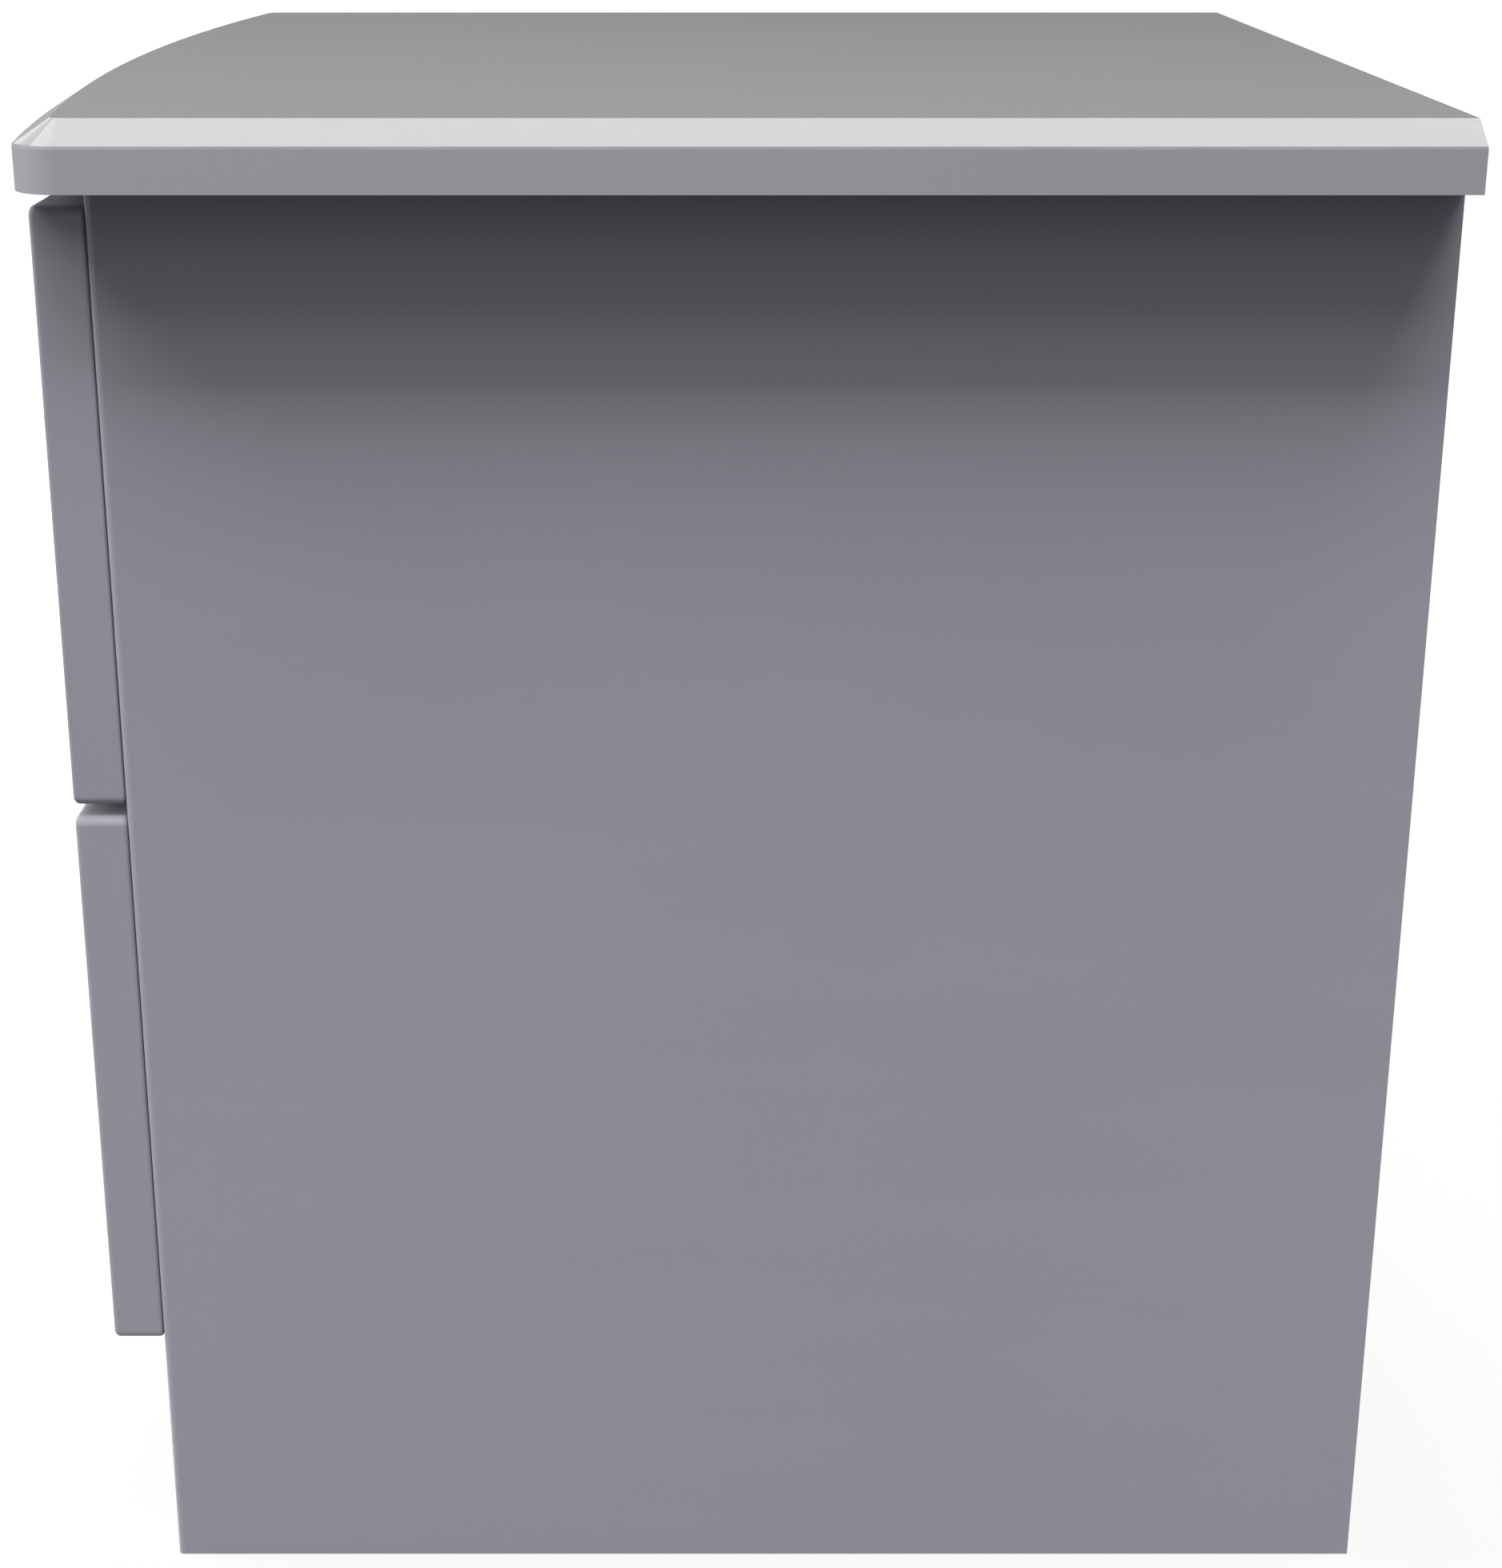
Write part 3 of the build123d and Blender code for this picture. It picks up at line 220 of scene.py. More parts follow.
class Effects:
    """The shader groups for rubbed arrises, pores, handling, dust, weave and brushing."""

    NUMBER = "NodeSocketFloat"
    VECTOR = "NodeSocketVector"

    def __init__(self) -> None:
        """Builds every group once."""
        self.groups: dict[str, bpy.types.NodeTree] = {}
        self.build_rub()
        self.build_pores()
        self.build_handling()
        self.build_dust()
        self.build_weave()
        self.build_brushing()

    def open(self, name: str, inputs: dict[str, tuple[str, object]], outputs: list[str]) -> tuple[Wiring, dict]:
        """Starts a group whose outputs are all numbers.

        Args:
            name: The group's name.
            inputs: Each input's socket type and first value, by name.
            outputs: Names of the outputs.

        Returns:
            The group's wiring and its input sockets by name.
        """
        wiring = open_tree(name, "ShaderNodeTree", inputs, {key: self.NUMBER for key in outputs})
        self.groups[name] = wiring.tree
        given = wiring.add("NodeGroupInput")
        return wiring, {key: given.outputs[key] for key in inputs}

    def build_rub(self) -> None:
        """Rubbed arrises: where the surface turns between its flat faces, broken up by patches."""
        wiring, given = self.open(
            "arris_rub",
            {"Bevel": (self.NUMBER, 1.0), "Upright": (self.NUMBER, 0.0), "Patches": (self.NUMBER, 30.0)},
            ["Mask"],
        )
        place = wiring.add("ShaderNodeTexCoord")
        across, along, rise = (wiring.math("ABSOLUTE", part) for part in wiring.split(place.outputs["Normal"]))
        from_bevel = wiring.math("ABSOLUTE", wiring.math("SUBTRACT", rise, given["Bevel"]))
        from_flat = wiring.math("MINIMUM", rise, wiring.math("SUBTRACT", 1.0, rise))
        level_turn = wiring.span(wiring.math("MINIMUM", from_flat, from_bevel), 0.015, 0.05)
        upright_turn = wiring.span(wiring.math("MINIMUM", across, along), 0.15, 0.45)
        turn = wiring.math("MAXIMUM", level_turn, wiring.math("MULTIPLY", upright_turn, given["Upright"]))
        patches = wiring.span(wiring.noise(place.outputs["Object"], given["Patches"], 3.0), 0.38, 0.66)
        result = wiring.math("MULTIPLY", turn, patches, clamp=True)
        wiring.add("NodeGroupOutput", {"Mask": result})

    def build_pores(self) -> None:
        """Fine pimples and pits of a pressed surface."""
        wiring, given = self.open("pores", {"Scale": (self.NUMBER, 2500.0)}, ["Height", "Tone"])
        place = wiring.add("ShaderNodeTexCoord").outputs["Object"]
        cells = wiring.add("ShaderNodeTexVoronoi", {"Vector": place, "Scale": given["Scale"]})
        grain = wiring.noise(place, wiring.math("MULTIPLY", given["Scale"], 0.45), 3.0)
        height = wiring.math("ADD", wiring.math("MULTIPLY", cells.outputs["Distance"], 0.6), grain)
        wiring.add("NodeGroupOutput", {"Height": height, "Tone": grain})

    def build_handling(self) -> None:
        """Soft clouds left by wiping and handling."""
        wiring, given = self.open("handling", {"Scale": (self.NUMBER, 6.0)}, ["Mask"])
        place = wiring.add("ShaderNodeTexCoord").outputs["Object"]
        broad = wiring.noise(place, given["Scale"], 4.0)
        wiped = wiring.noise(wiring.scaled(place, (1.0, 0.35, 2.4)), wiring.math("MULTIPLY", given["Scale"], 4.0), 3.0)
        blend = wiring.math("ADD", wiring.math("MULTIPLY", broad, 0.7), wiring.math("MULTIPLY", wiped, 0.3))
        wiring.add("NodeGroupOutput", {"Mask": wiring.span(blend, 0.36, 0.64)})

    def build_dust(self) -> None:
        """Thin dust on the faces that look up."""
        wiring, given = self.open("dust", {"Amount": (self.NUMBER, 0.2)}, ["Mask"])
        place = wiring.add("ShaderNodeTexCoord")
        rise = wiring.split(place.outputs["Normal"])[2]
        specks = wiring.span(wiring.noise(place.outputs["Object"], 900.0, 2.0), 0.55, 0.75)
        clouds = wiring.span(wiring.noise(place.outputs["Object"], 14.0, 4.0), 0.35, 0.7, 0.35, 1.0)
        laid = wiring.math("MULTIPLY", wiring.math("MULTIPLY", specks, clouds), wiring.span(rise, 0.6, 0.95))
        wiring.add("NodeGroupOutput", {"Mask": wiring.math("MULTIPLY", laid, given["Amount"], clamp=True)})

    def build_weave(self) -> None:
        """Over and under threads along two directions of a flat face."""
        wiring, given = self.open(
            "weave", {"Pitch": (self.NUMBER, 900.0), "Unevenness": (self.NUMBER, 0.2)}, ["Height", "Tone"]
        )
        place = wiring.add("ShaderNodeTexCoord").outputs["Object"]
        drift = wiring.math("MULTIPLY", wiring.noise(place, 160.0, 2.0), given["Unevenness"])
        pitch = wiring.math("MULTIPLY", given["Pitch"], math.tau)
        waves = []
        for part in wiring.split(place):
            phase = wiring.math("ADD", wiring.math("MULTIPLY", part, pitch), wiring.math("MULTIPLY", drift, 9.0))
            waves.append(wiring.math("SINE", phase))
        woven = wiring.math("MULTIPLY", waves[0], wiring.math("ADD", waves[1], waves[2]))
        height = wiring.math("ADD", wiring.math("MULTIPLY", woven, 0.25), 0.5)
        wiring.add("NodeGroupOutput", {"Height": height, "Tone": drift})

    def build_brushing(self) -> None:
        """Long fine lines left by a brush, a saw or a growing tree."""
        wiring, given = self.open(
            "brushing", {"Stretch": (self.VECTOR, (1.0, 40.0, 40.0)), "Scale": (self.NUMBER, 60.0)}, ["Lines"]
        )
        place = wiring.add("ShaderNodeTexCoord").outputs["Object"]
        lines = wiring.noise(wiring.scaled(place, given["Stretch"]), given["Scale"], 4.0)
        wiring.add("NodeGroupOutput", {"Lines": wiring.span(lines, 0.3, 0.7)})


# Finishes


class Coat(Wiring):
    """The wiring of one material round its Principled shader."""

    def __init__(self, name: str, effects: Effects) -> None:
        """Starts a material.

        Args:
            name: The material's name.
            effects: The shared shader groups.
        """
        self.material = bpy.data.materials.new(name)
        self.material.use_nodes = True
        super().__init__(self.material.node_tree)
        self.effects = effects
        self.shader = self.tree.nodes["Principled BSDF"]
        self.place = self.add("ShaderNodeTexCoord")

    def effect(self, name: str, **values: Feed) -> bpy.types.NodeSocketStandard:
        """Places a shared effect.

        Args:
            name: The effect's name.
            values: Its inputs, with underscores for spaces.

        Returns:
            The outputs of the effect's node.
        """
        node = self.add("ShaderNodeGroup", node_tree=self.effects.groups[name])
        for key, value in values.items():
            self.feed(node.inputs[key.replace("_", " ")], value)
        return node.outputs

    def plain(self, **values: float) -> None:
        """Sets numbers that are the same all over on the shader's own sockets."""
        for key, value in values.items():
            self.shader.inputs[key.replace("_", " ")].default_value = value

    def surface(self, colour: Feed, roughness: Feed) -> None:
        """Joins a colour and a roughness to the shader."""
        self.feed(self.shader.inputs["Base Color"], colour)
        self.feed(self.shader.inputs["Roughness"], roughness)

    def relief(self, height: Feed, depth: float, strength: float = 1.0) -> None:
        """Joins a fine relief to the shader.

        Args:
            height: The relief's height, about 0 to 1.
            depth: How deep it is, in metres.
            strength: How much of it shows.
        """
        bump = self.add("ShaderNodeBump", {"Strength": strength, "Distance": depth, "Height": height})
        self.feed(self.shader.inputs["Normal"], bump.outputs["Normal"])

    def facing(self, axis: Axis, sign: float) -> bpy.types.NodeSocket:
        """A mask of the faces that look along one direction.

        Args:
            axis: The direction's axis.
            sign: 1 for the side of rising values, -1 for the other.

        Returns:
            The mask's socket.
        """
        part = self.split(self.place.outputs["Normal"])[axis.value]
        return self.span(self.math("MULTIPLY", part, sign), 0.9, 0.97)


def tint(colour: Colour, factor: float) -> Colour:
    """A colour made lighter or darker by one factor."""
    return tuple(min(1.0, part * factor) for part in colour)


@dataclass(frozen=True)
class MattFoil:
    """Matt foil that is pressed round the bevels of the top and the eased edges of the drawer fronts."""

    colour: Colour = (0.262, 0.262, 0.300)
    roughness: float = 0.46
    pore_scale: float = 2600.0
    bevel: float = 1.0
    bevel_roughness: float = 0.15

    def material(self, name: str, effects: Effects) -> bpy.types.Material:
        """Builds the foil.

        Args:
            name: The material's name.
            effects: The shared shader groups.

        Returns:
            The finished material.
        """
        coat = Coat(name, effects)
        pores = coat.effect("pores", Scale=self.pore_scale)
        wiped = coat.effect("handling", Scale=5.0)["Mask"]
        rubbed = coat.effect("arris_rub", Bevel=self.bevel, Upright=1.0 if self.bevel == 1.0 else 0.0)["Mask"]
        dusty = coat.effect("dust", Amount=0.10)["Mask"]
        clouded = coat.mix(wiped, tint(self.colour, 0.985), tint(self.colour, 1.02))
        speckled = coat.mix(coat.math("MULTIPLY", pores["Tone"], 0.10), clouded, tint(self.colour, 0.82))
        worn = coat.mix(coat.math("MULTIPLY", rubbed, 0.20), speckled, tint(self.colour, 1.5))
        settled = coat.mix(dusty, worn, (0.52, 0.51, 0.49))
        polish = coat.span(wiped, 0.0, 1.0, self.roughness - 0.015, self.roughness + 0.015)
        if self.bevel < 1.0:
            across, _, rise = coat.split(coat.place.outputs["Normal"])
            off_bevel = coat.math("ABSOLUTE", coat.math("SUBTRACT", rise, self.bevel))
            on_side = coat.span(coat.math("ABSOLUTE", across), 0.10, 0.20)
            stretched = coat.math("MULTIPLY", coat.span(off_bevel, 0.03, 0.08, 1.0, 0.0), on_side)
            tight = coat.math("MULTIPLY", stretched, coat.math("SUBTRACT", self.bevel_roughness, polish))
            polish = coat.math("ADD", polish, tight)
        coat.surface(settled, coat.math("ADD", polish, coat.math("MULTIPLY", rubbed, -0.05)))
        coat.relief(pores["Height"], 0.02 * MM, 0.35)
        return coat.material


@dataclass(frozen=True)
class MelamineBoard:
    """Grey melamine faced chipboard, raw where the factory leaves an edge unbanded."""

    colour: Colour = (0.262, 0.262, 0.300)
    chip: Colour = (0.40, 0.28, 0.165)
    roughness: float = 0.44
    raw_rear: bool = False
    raw_foot: bool = False

    def material(self, name: str, effects: Effects) -> bpy.types.Material:
        """Builds the board.

        Args:
            name: The material's name.
            effects: The shared shader groups.

        Returns:
            The finished material.
        """
        coat = Coat(name, effects)
        pores = coat.effect("pores", Scale=1900.0)
        wiped = coat.effect("handling", Scale=4.0)["Mask"]
        clouded = coat.mix(wiped, tint(self.colour, 0.985), tint(self.colour, 1.02))
        faced = coat.mix(coat.math("MULTIPLY", pores["Tone"], 0.10), clouded, tint(self.colour, 0.82))
        polish = coat.span(wiped, 0.0, 1.0, self.roughness - 0.03, self.roughness + 0.04)
        coat.plain(Specular_IOR_Level=0.2)
        raw_sides = [coat.facing(Axis.Y, 1.0)] if self.raw_rear else []
        raw_sides += [coat.facing(Axis.Z, -1.0)] if self.raw_foot else []
        if not raw_sides:
            coat.surface(faced, polish)
            coat.relief(pores["Height"], 0.025 * MM, 0.35)
            return coat.material
        raw = raw_sides[0] if len(raw_sides) == 1 else coat.math("MAXIMUM", raw_sides[0], raw_sides[1])
        chips = coat.add("ShaderNodeTexVoronoi", {"Vector": coat.place.outputs["Object"], "Scale": 620.0})
        tone = coat.split(chips.outputs["Color"])[0]
        flakes = coat.mix(tone, tint(self.chip, 0.55), tint(self.chip, 1.35))
        coat.surface(coat.mix(raw, faced, flakes), coat.math("MAXIMUM", polish, coat.math("MULTIPLY", raw, 0.85)))
        rough_edge = coat.math("MULTIPLY", coat.math("MULTIPLY", tone, raw), 6.0)
        coat.relief(coat.math("ADD", pores["Height"], rough_edge), 0.03 * MM, 0.5)
        return coat.material


@dataclass(frozen=True)
class PlasticEdging:
    """Plastic strip on the front edges of the side panels, a touch lighter than the board."""

    colour: Colour = (0.276, 0.276, 0.312)
    roughness: float = 0.36

    def material(self, name: str, effects: Effects) -> bpy.types.Material:
        """Builds the strip.

        Args:
            name: The material's name.
            effects: The shared shader groups.

        Returns:
            The finished material.
        """
        coat = Coat(name, effects)
        scraped = coat.effect("brushing", Stretch=(60.0, 60.0, 1.0), Scale=40.0)["Lines"]
        rubbed = coat.effect("arris_rub", Upright=1.0, Patches=50.0)["Mask"]
        colour = coat.mix(scraped, tint(self.colour, 0.96), tint(self.colour, 1.04))
        coat.surface(
            coat.mix(coat.math("MULTIPLY", rubbed, 0.25), colour, tint(self.colour, 1.3)),
            coat.span(scraped, 0.0, 1.0, self.roughness - 0.05, self.roughness + 0.06),
        )
        coat.relief(scraped, 0.02 * MM, 0.3)
        return coat.material


@dataclass(frozen=True)
class Hardboard:
    """Hardboard with the mark of its wire screen behind and a coat of grey paint inside."""

    fibre: Colour = (0.205, 0.115, 0.060)
    paint: Colour = (0.262, 0.262, 0.300)

    def material(self, name: str, effects: Effects) -> bpy.types.Material:
        """Builds the hardboard.

        Args:
            name: The material's name.
            effects: The shared shader groups.

        Returns:
            The finished material.
        """
        coat = Coat(name, effects)
        screen = coat.effect("weave", Pitch=420.0, Unevenness=0.35)
        wiped = coat.effect("handling", Scale=9.0)["Mask"]
        hairs = coat.effect("brushing", Stretch=(1.0, 1.0, 3.0), Scale=700.0)["Lines"]
        painted = coat.facing(Axis.Y, -1.0)
        pressed = coat.mix(coat.math("MULTIPLY", hairs, 0.55), tint(self.fibre, 0.72), tint(self.fibre, 1.55))
        blotched = coat.mix(coat.math("MULTIPLY", wiped, 0.35), pressed, tint(self.fibre, 1.25))
        wired = coat.mix(coat.math("MULTIPLY", screen["Height"], 0.35), blotched, tint(self.fibre, 0.5))
        coat.surface(coat.mix(painted, wired, self.paint), coat.span(painted, 0.0, 1.0, 0.78, 0.5))
        bare = coat.math("SUBTRACT", 1.0, painted)
        coat.relief(coat.math("MULTIPLY", screen["Height"], bare), 0.12 * MM, 0.7)
        return coat.material


@dataclass(frozen=True)
class DrawerFoil:
    """Pale grey foil with a linen print, wrapped on the boards of the drawer boxes."""

    colour: Colour = (0.60, 0.60, 0.595)
    roughness: float = 0.46

    def material(self, name: str, effects: Effects) -> bpy.types.Material:
        """Builds the foil.

        Args:
            name: The material's name.
            effects: The shared shader groups.

        Returns:
            The finished material.
        """
        coat = Coat(name, effects)
        linen = coat.effect("weave", Pitch=650.0, Unevenness=0.8)
        slubs = coat.effect("brushing", Stretch=(6.0, 1.0, 60.0), Scale=30.0)["Lines"]
        wiped = coat.effect("handling", Scale=7.0)["Mask"]
        dusty = coat.effect("dust", Amount=0.16)["Mask"]
        threads = coat.mix(coat.math("MULTIPLY", linen["Height"], 0.55), tint(self.colour, 1.08), tint(self.colour, 0.84))
        slubbed = coat.mix(coat.math("MULTIPLY", slubs, 0.16), threads, tint(self.colour, 0.80))
        coat.surface(
            coat.mix(dusty, slubbed, (0.42, 0.40, 0.37)),
            coat.span(wiped, 0.0, 1.0, self.roughness - 0.05, self.roughness + 0.06),
        )
        coat.relief(linen["Height"], 0.05 * MM, 0.4)
        return coat.material


@dataclass(frozen=True)
class PowderCoat:
    """Off-white powder coat on the folded steel of the runners."""

    colour: Colour = (0.70, 0.70, 0.675)
    roughness: float = 0.36

    def material(self, name: str, effects: Effects) -> bpy.types.Material:
        """Builds the coat.

        Args:
            name: The material's name.
            effects: The shared shader groups.

        Returns:
            The finished material.
        """
        coat = Coat(name, effects)
        peel = coat.effect("pores", Scale=750.0)
        wiped = coat.effect("handling", Scale=16.0)["Mask"]
        rolled = coat.effect("brushing", Stretch=(60.0, 1.0, 60.0), Scale=24.0)["Lines"]
        shaded = coat.mix(wiped, tint(self.colour, 0.95), tint(self.colour, 1.03))
        tracked = coat.mix(coat.math("MULTIPLY", rolled, 0.14), shaded, tint(self.colour, 0.62))
        coat.surface(tracked, coat.span(peel["Tone"], 0.3, 0.7, self.roughness - 0.06, self.roughness + 0.08))
        coat.relief(peel["Height"], 0.05 * MM, 0.5)
        return coat.material


@dataclass(frozen=True)
class ZincPlate:
    """Bright zinc on screws, pins, rivets and cam fittings, clouded blue and straw."""

    colour: Colour = (0.62, 0.63, 0.65)
    straw: Colour = (0.66, 0.60, 0.47)
    roughness: float = 0.30

    def material(self, name: str, effects: Effects) -> bpy.types.Material:
        """Builds the plate.

        Args:
            name: The material's name.
            effects: The shared shader groups.

        Returns:
            The finished material.
        """
        coat = Coat(name, effects)
        clouds = coat.effect("handling", Scale=70.0)["Mask"]
        grain = coat.effect("pores", Scale=2200.0)
        coat.surface(
            coat.mix(coat.math("MULTIPLY", clouds, 0.5), self.colour, self.straw),
            coat.span(grain["Tone"], 0.3, 0.7, self.roughness - 0.06, self.roughness + 0.12),
        )
        coat.plain(Metallic=1.0)
        coat.relief(grain["Height"], 0.015 * MM, 0.4)
        return coat.material


@dataclass(frozen=True)
class SatinNickel:
    """Nickel plate on the bow handles, brushed along their length."""

    colour: Colour = (0.47, 0.455, 0.43)
    roughness: float = 0.33

    def material(self, name: str, effects: Effects) -> bpy.types.Material:
        """Builds the plate.

        Args:
            name: The material's name.
            effects: The shared shader groups.

        Returns:
            The finished material.
        """
        coat = Coat(name, effects)
        brushed = coat.effect("brushing", Stretch=(1.0, 45.0, 45.0), Scale=70.0)["Lines"]
        touched = coat.effect("handling", Scale=24.0)["Mask"]
        sheen = coat.span(brushed, 0.0, 1.0, self.roughness - 0.05, self.roughness + 0.07)
        coat.surface(
            coat.mix(brushed, tint(self.colour, 0.93), tint(self.colour, 1.07)),
            coat.math("ADD", sheen, coat.math("MULTIPLY", touched, 0.05)),
        )
        coat.plain(Metallic=1.0)
        coat.relief(brushed, 0.012 * MM, 0.35)
        return coat.material


@dataclass(frozen=True)
class Nylon:
    """Natural nylon of the rollers, slightly waxy, with a little grey from rolling on steel."""

    colour: Colour = (0.80, 0.785, 0.735)
    roughness: float = 0.42

    def material(self, name: str, effects: Effects) -> bpy.types.Material:
        """Builds the nylon.

        Args:
            name: The material's name.
            effects: The shared shader groups.

        Returns:
            The finished material.
        """
        coat = Coat(name, effects)
        grain = coat.effect("pores", Scale=1400.0)
        grime = coat.effect("handling", Scale=130.0)["Mask"]
        coat.surface(
            coat.mix(coat.math("MULTIPLY", grime, 0.22), self.colour, tint(self.colour, 0.6)),
            coat.span(grime, 0.0, 1.0, self.roughness - 0.05, self.roughness + 0.08),
        )
        coat.plain(Specular_IOR_Level=0.45)
        coat.relief(grain["Height"], 0.02 * MM, 0.4)
        return coat.material


@dataclass(frozen=True)
class Beech:
    """Plain beech of the dowels, with its pores along their length."""

    colour: Colour = (0.56, 0.38, 0.22)

    def material(self, name: str, effects: Effects) -> bpy.types.Material:
        """Builds the wood.

        Args:
            name: The material's name.
            effects: The shared shader groups.

        Returns:
            The finished material.
        """
        coat = Coat(name, effects)
        fibres = coat.effect("brushing", Stretch=(1.0, 14.0, 14.0), Scale=110.0)["Lines"]
        flecks = coat.span(fibres, 0.72, 0.9)
        grown = coat.mix(fibres, tint(self.colour, 0.9), tint(self.colour, 1.1))
        coat.surface(coat.mix(coat.math("MULTIPLY", flecks, 0.5), grown, tint(self.colour, 0.45)), 0.62)
        coat.relief(fibres, 0.04 * MM, 0.5)
        return coat.material


class Finishes:
    """All the finishes of the cabinet, made once and handed out by name."""

    def __init__(self) -> None:
        """Builds the shared effects and every material."""
        effects = Effects()
        kinds = {
            "top_foil": MattFoil(bevel=0.844, roughness=0.85),
            "front_foil": MattFoil(roughness=0.62),
            "side_board": MelamineBoard(raw_rear=True, raw_foot=True),
            "cross_board": MelamineBoard(raw_rear=True),
            "plinth_face": MelamineBoard(raw_foot=True),
            "front_edging": PlasticEdging(),
            "back_hardboard": Hardboard(),
            "drawer_linen": DrawerFoil(),
            "runner_coat": PowderCoat(),
            "zinc_plate": ZincPlate(),
            "satin_nickel": SatinNickel(),
            "roller_nylon": Nylon(),
            "dowel_beech": Beech(),
        }
        self.materials = {name: kind.material(name, effects) for name, kind in kinds.items()}

    def dress(self, node: str, finish: str) -> None:
        """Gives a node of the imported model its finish.

        Args:
            node: The node's name.
            finish: The finish's name.
        """
        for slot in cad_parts[node].material_slots:
            slot.material = self.materials[finish]
        LOG.info("%s: %s", node, finish)


# Small fittings


@dataclass
class Sites:
    """Places where a fitting is set, each with the direction from its tip to its head.

    Attributes:
        tips: The middle of each fitting's far end.
        axes: The direction that each one points in.
        length: Length of the fitting from end to end.
    """

    tips: list[Vector]
    axes: list[Vector]
    length: float

    @classmethod
    def of_node(cls, node: str, axis: Axis) -> "Sites":
        """Finds the separate solids of a node and how each one lies.

        Args:
            node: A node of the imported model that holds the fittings.
            axis: The axis that they all lie along.

        Returns:
            The places of the fittings.
        """
        shell = bmesh.new()
        shell.from_mesh(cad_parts[node].data)
        bmesh.ops.remove_doubles(shell, verts=shell.verts, dist=1e-6)
        waiting = set(shell.verts)
        tips: list[Vector] = []
        axes: list[Vector] = []
        length = 0.0
        while waiting:
            reached = [waiting.pop()]
            island = []
            while reached:
                vert = reached.pop()
                island.append(vert.co.copy())
                for edge in vert.link_edges:
                    other = edge.other_vert(vert)
                    if other in waiting:
                        waiting.remove(other)
                        reached.append(other)
            low = Vector([min(point[part] for point in island) for part in range(3)])
            high = Vector([max(point[part] for point in island) for part in range(3)])
            middle = (low + high) / 2
            length = high[axis.value] - low[axis.value]
            reach = {-1: 0.0, 1: 0.0}
            for point in island:
                away = point - middle
                sign = 1 if away[axis.value] > 0 else -1
                if abs(away[axis.value]) > 0.49 * length:
                    away[axis.value] = 0.0
                    reach[sign] = max(reach[sign], away.length)
            sign = 1 if reach[1] >= reach[-1] else -1
            direction = Vector((0.0, 0.0, 0.0))
            direction[axis.value] = float(sign)
            tips.append(middle - direction * (length / 2))
            axes.append(direction)
        shell.free()
        order = sorted(range(len(tips)), key=lambda place: tuple(tips[place]))
        return cls([tips[place] for place in order], [axes[place] for place in order], length)


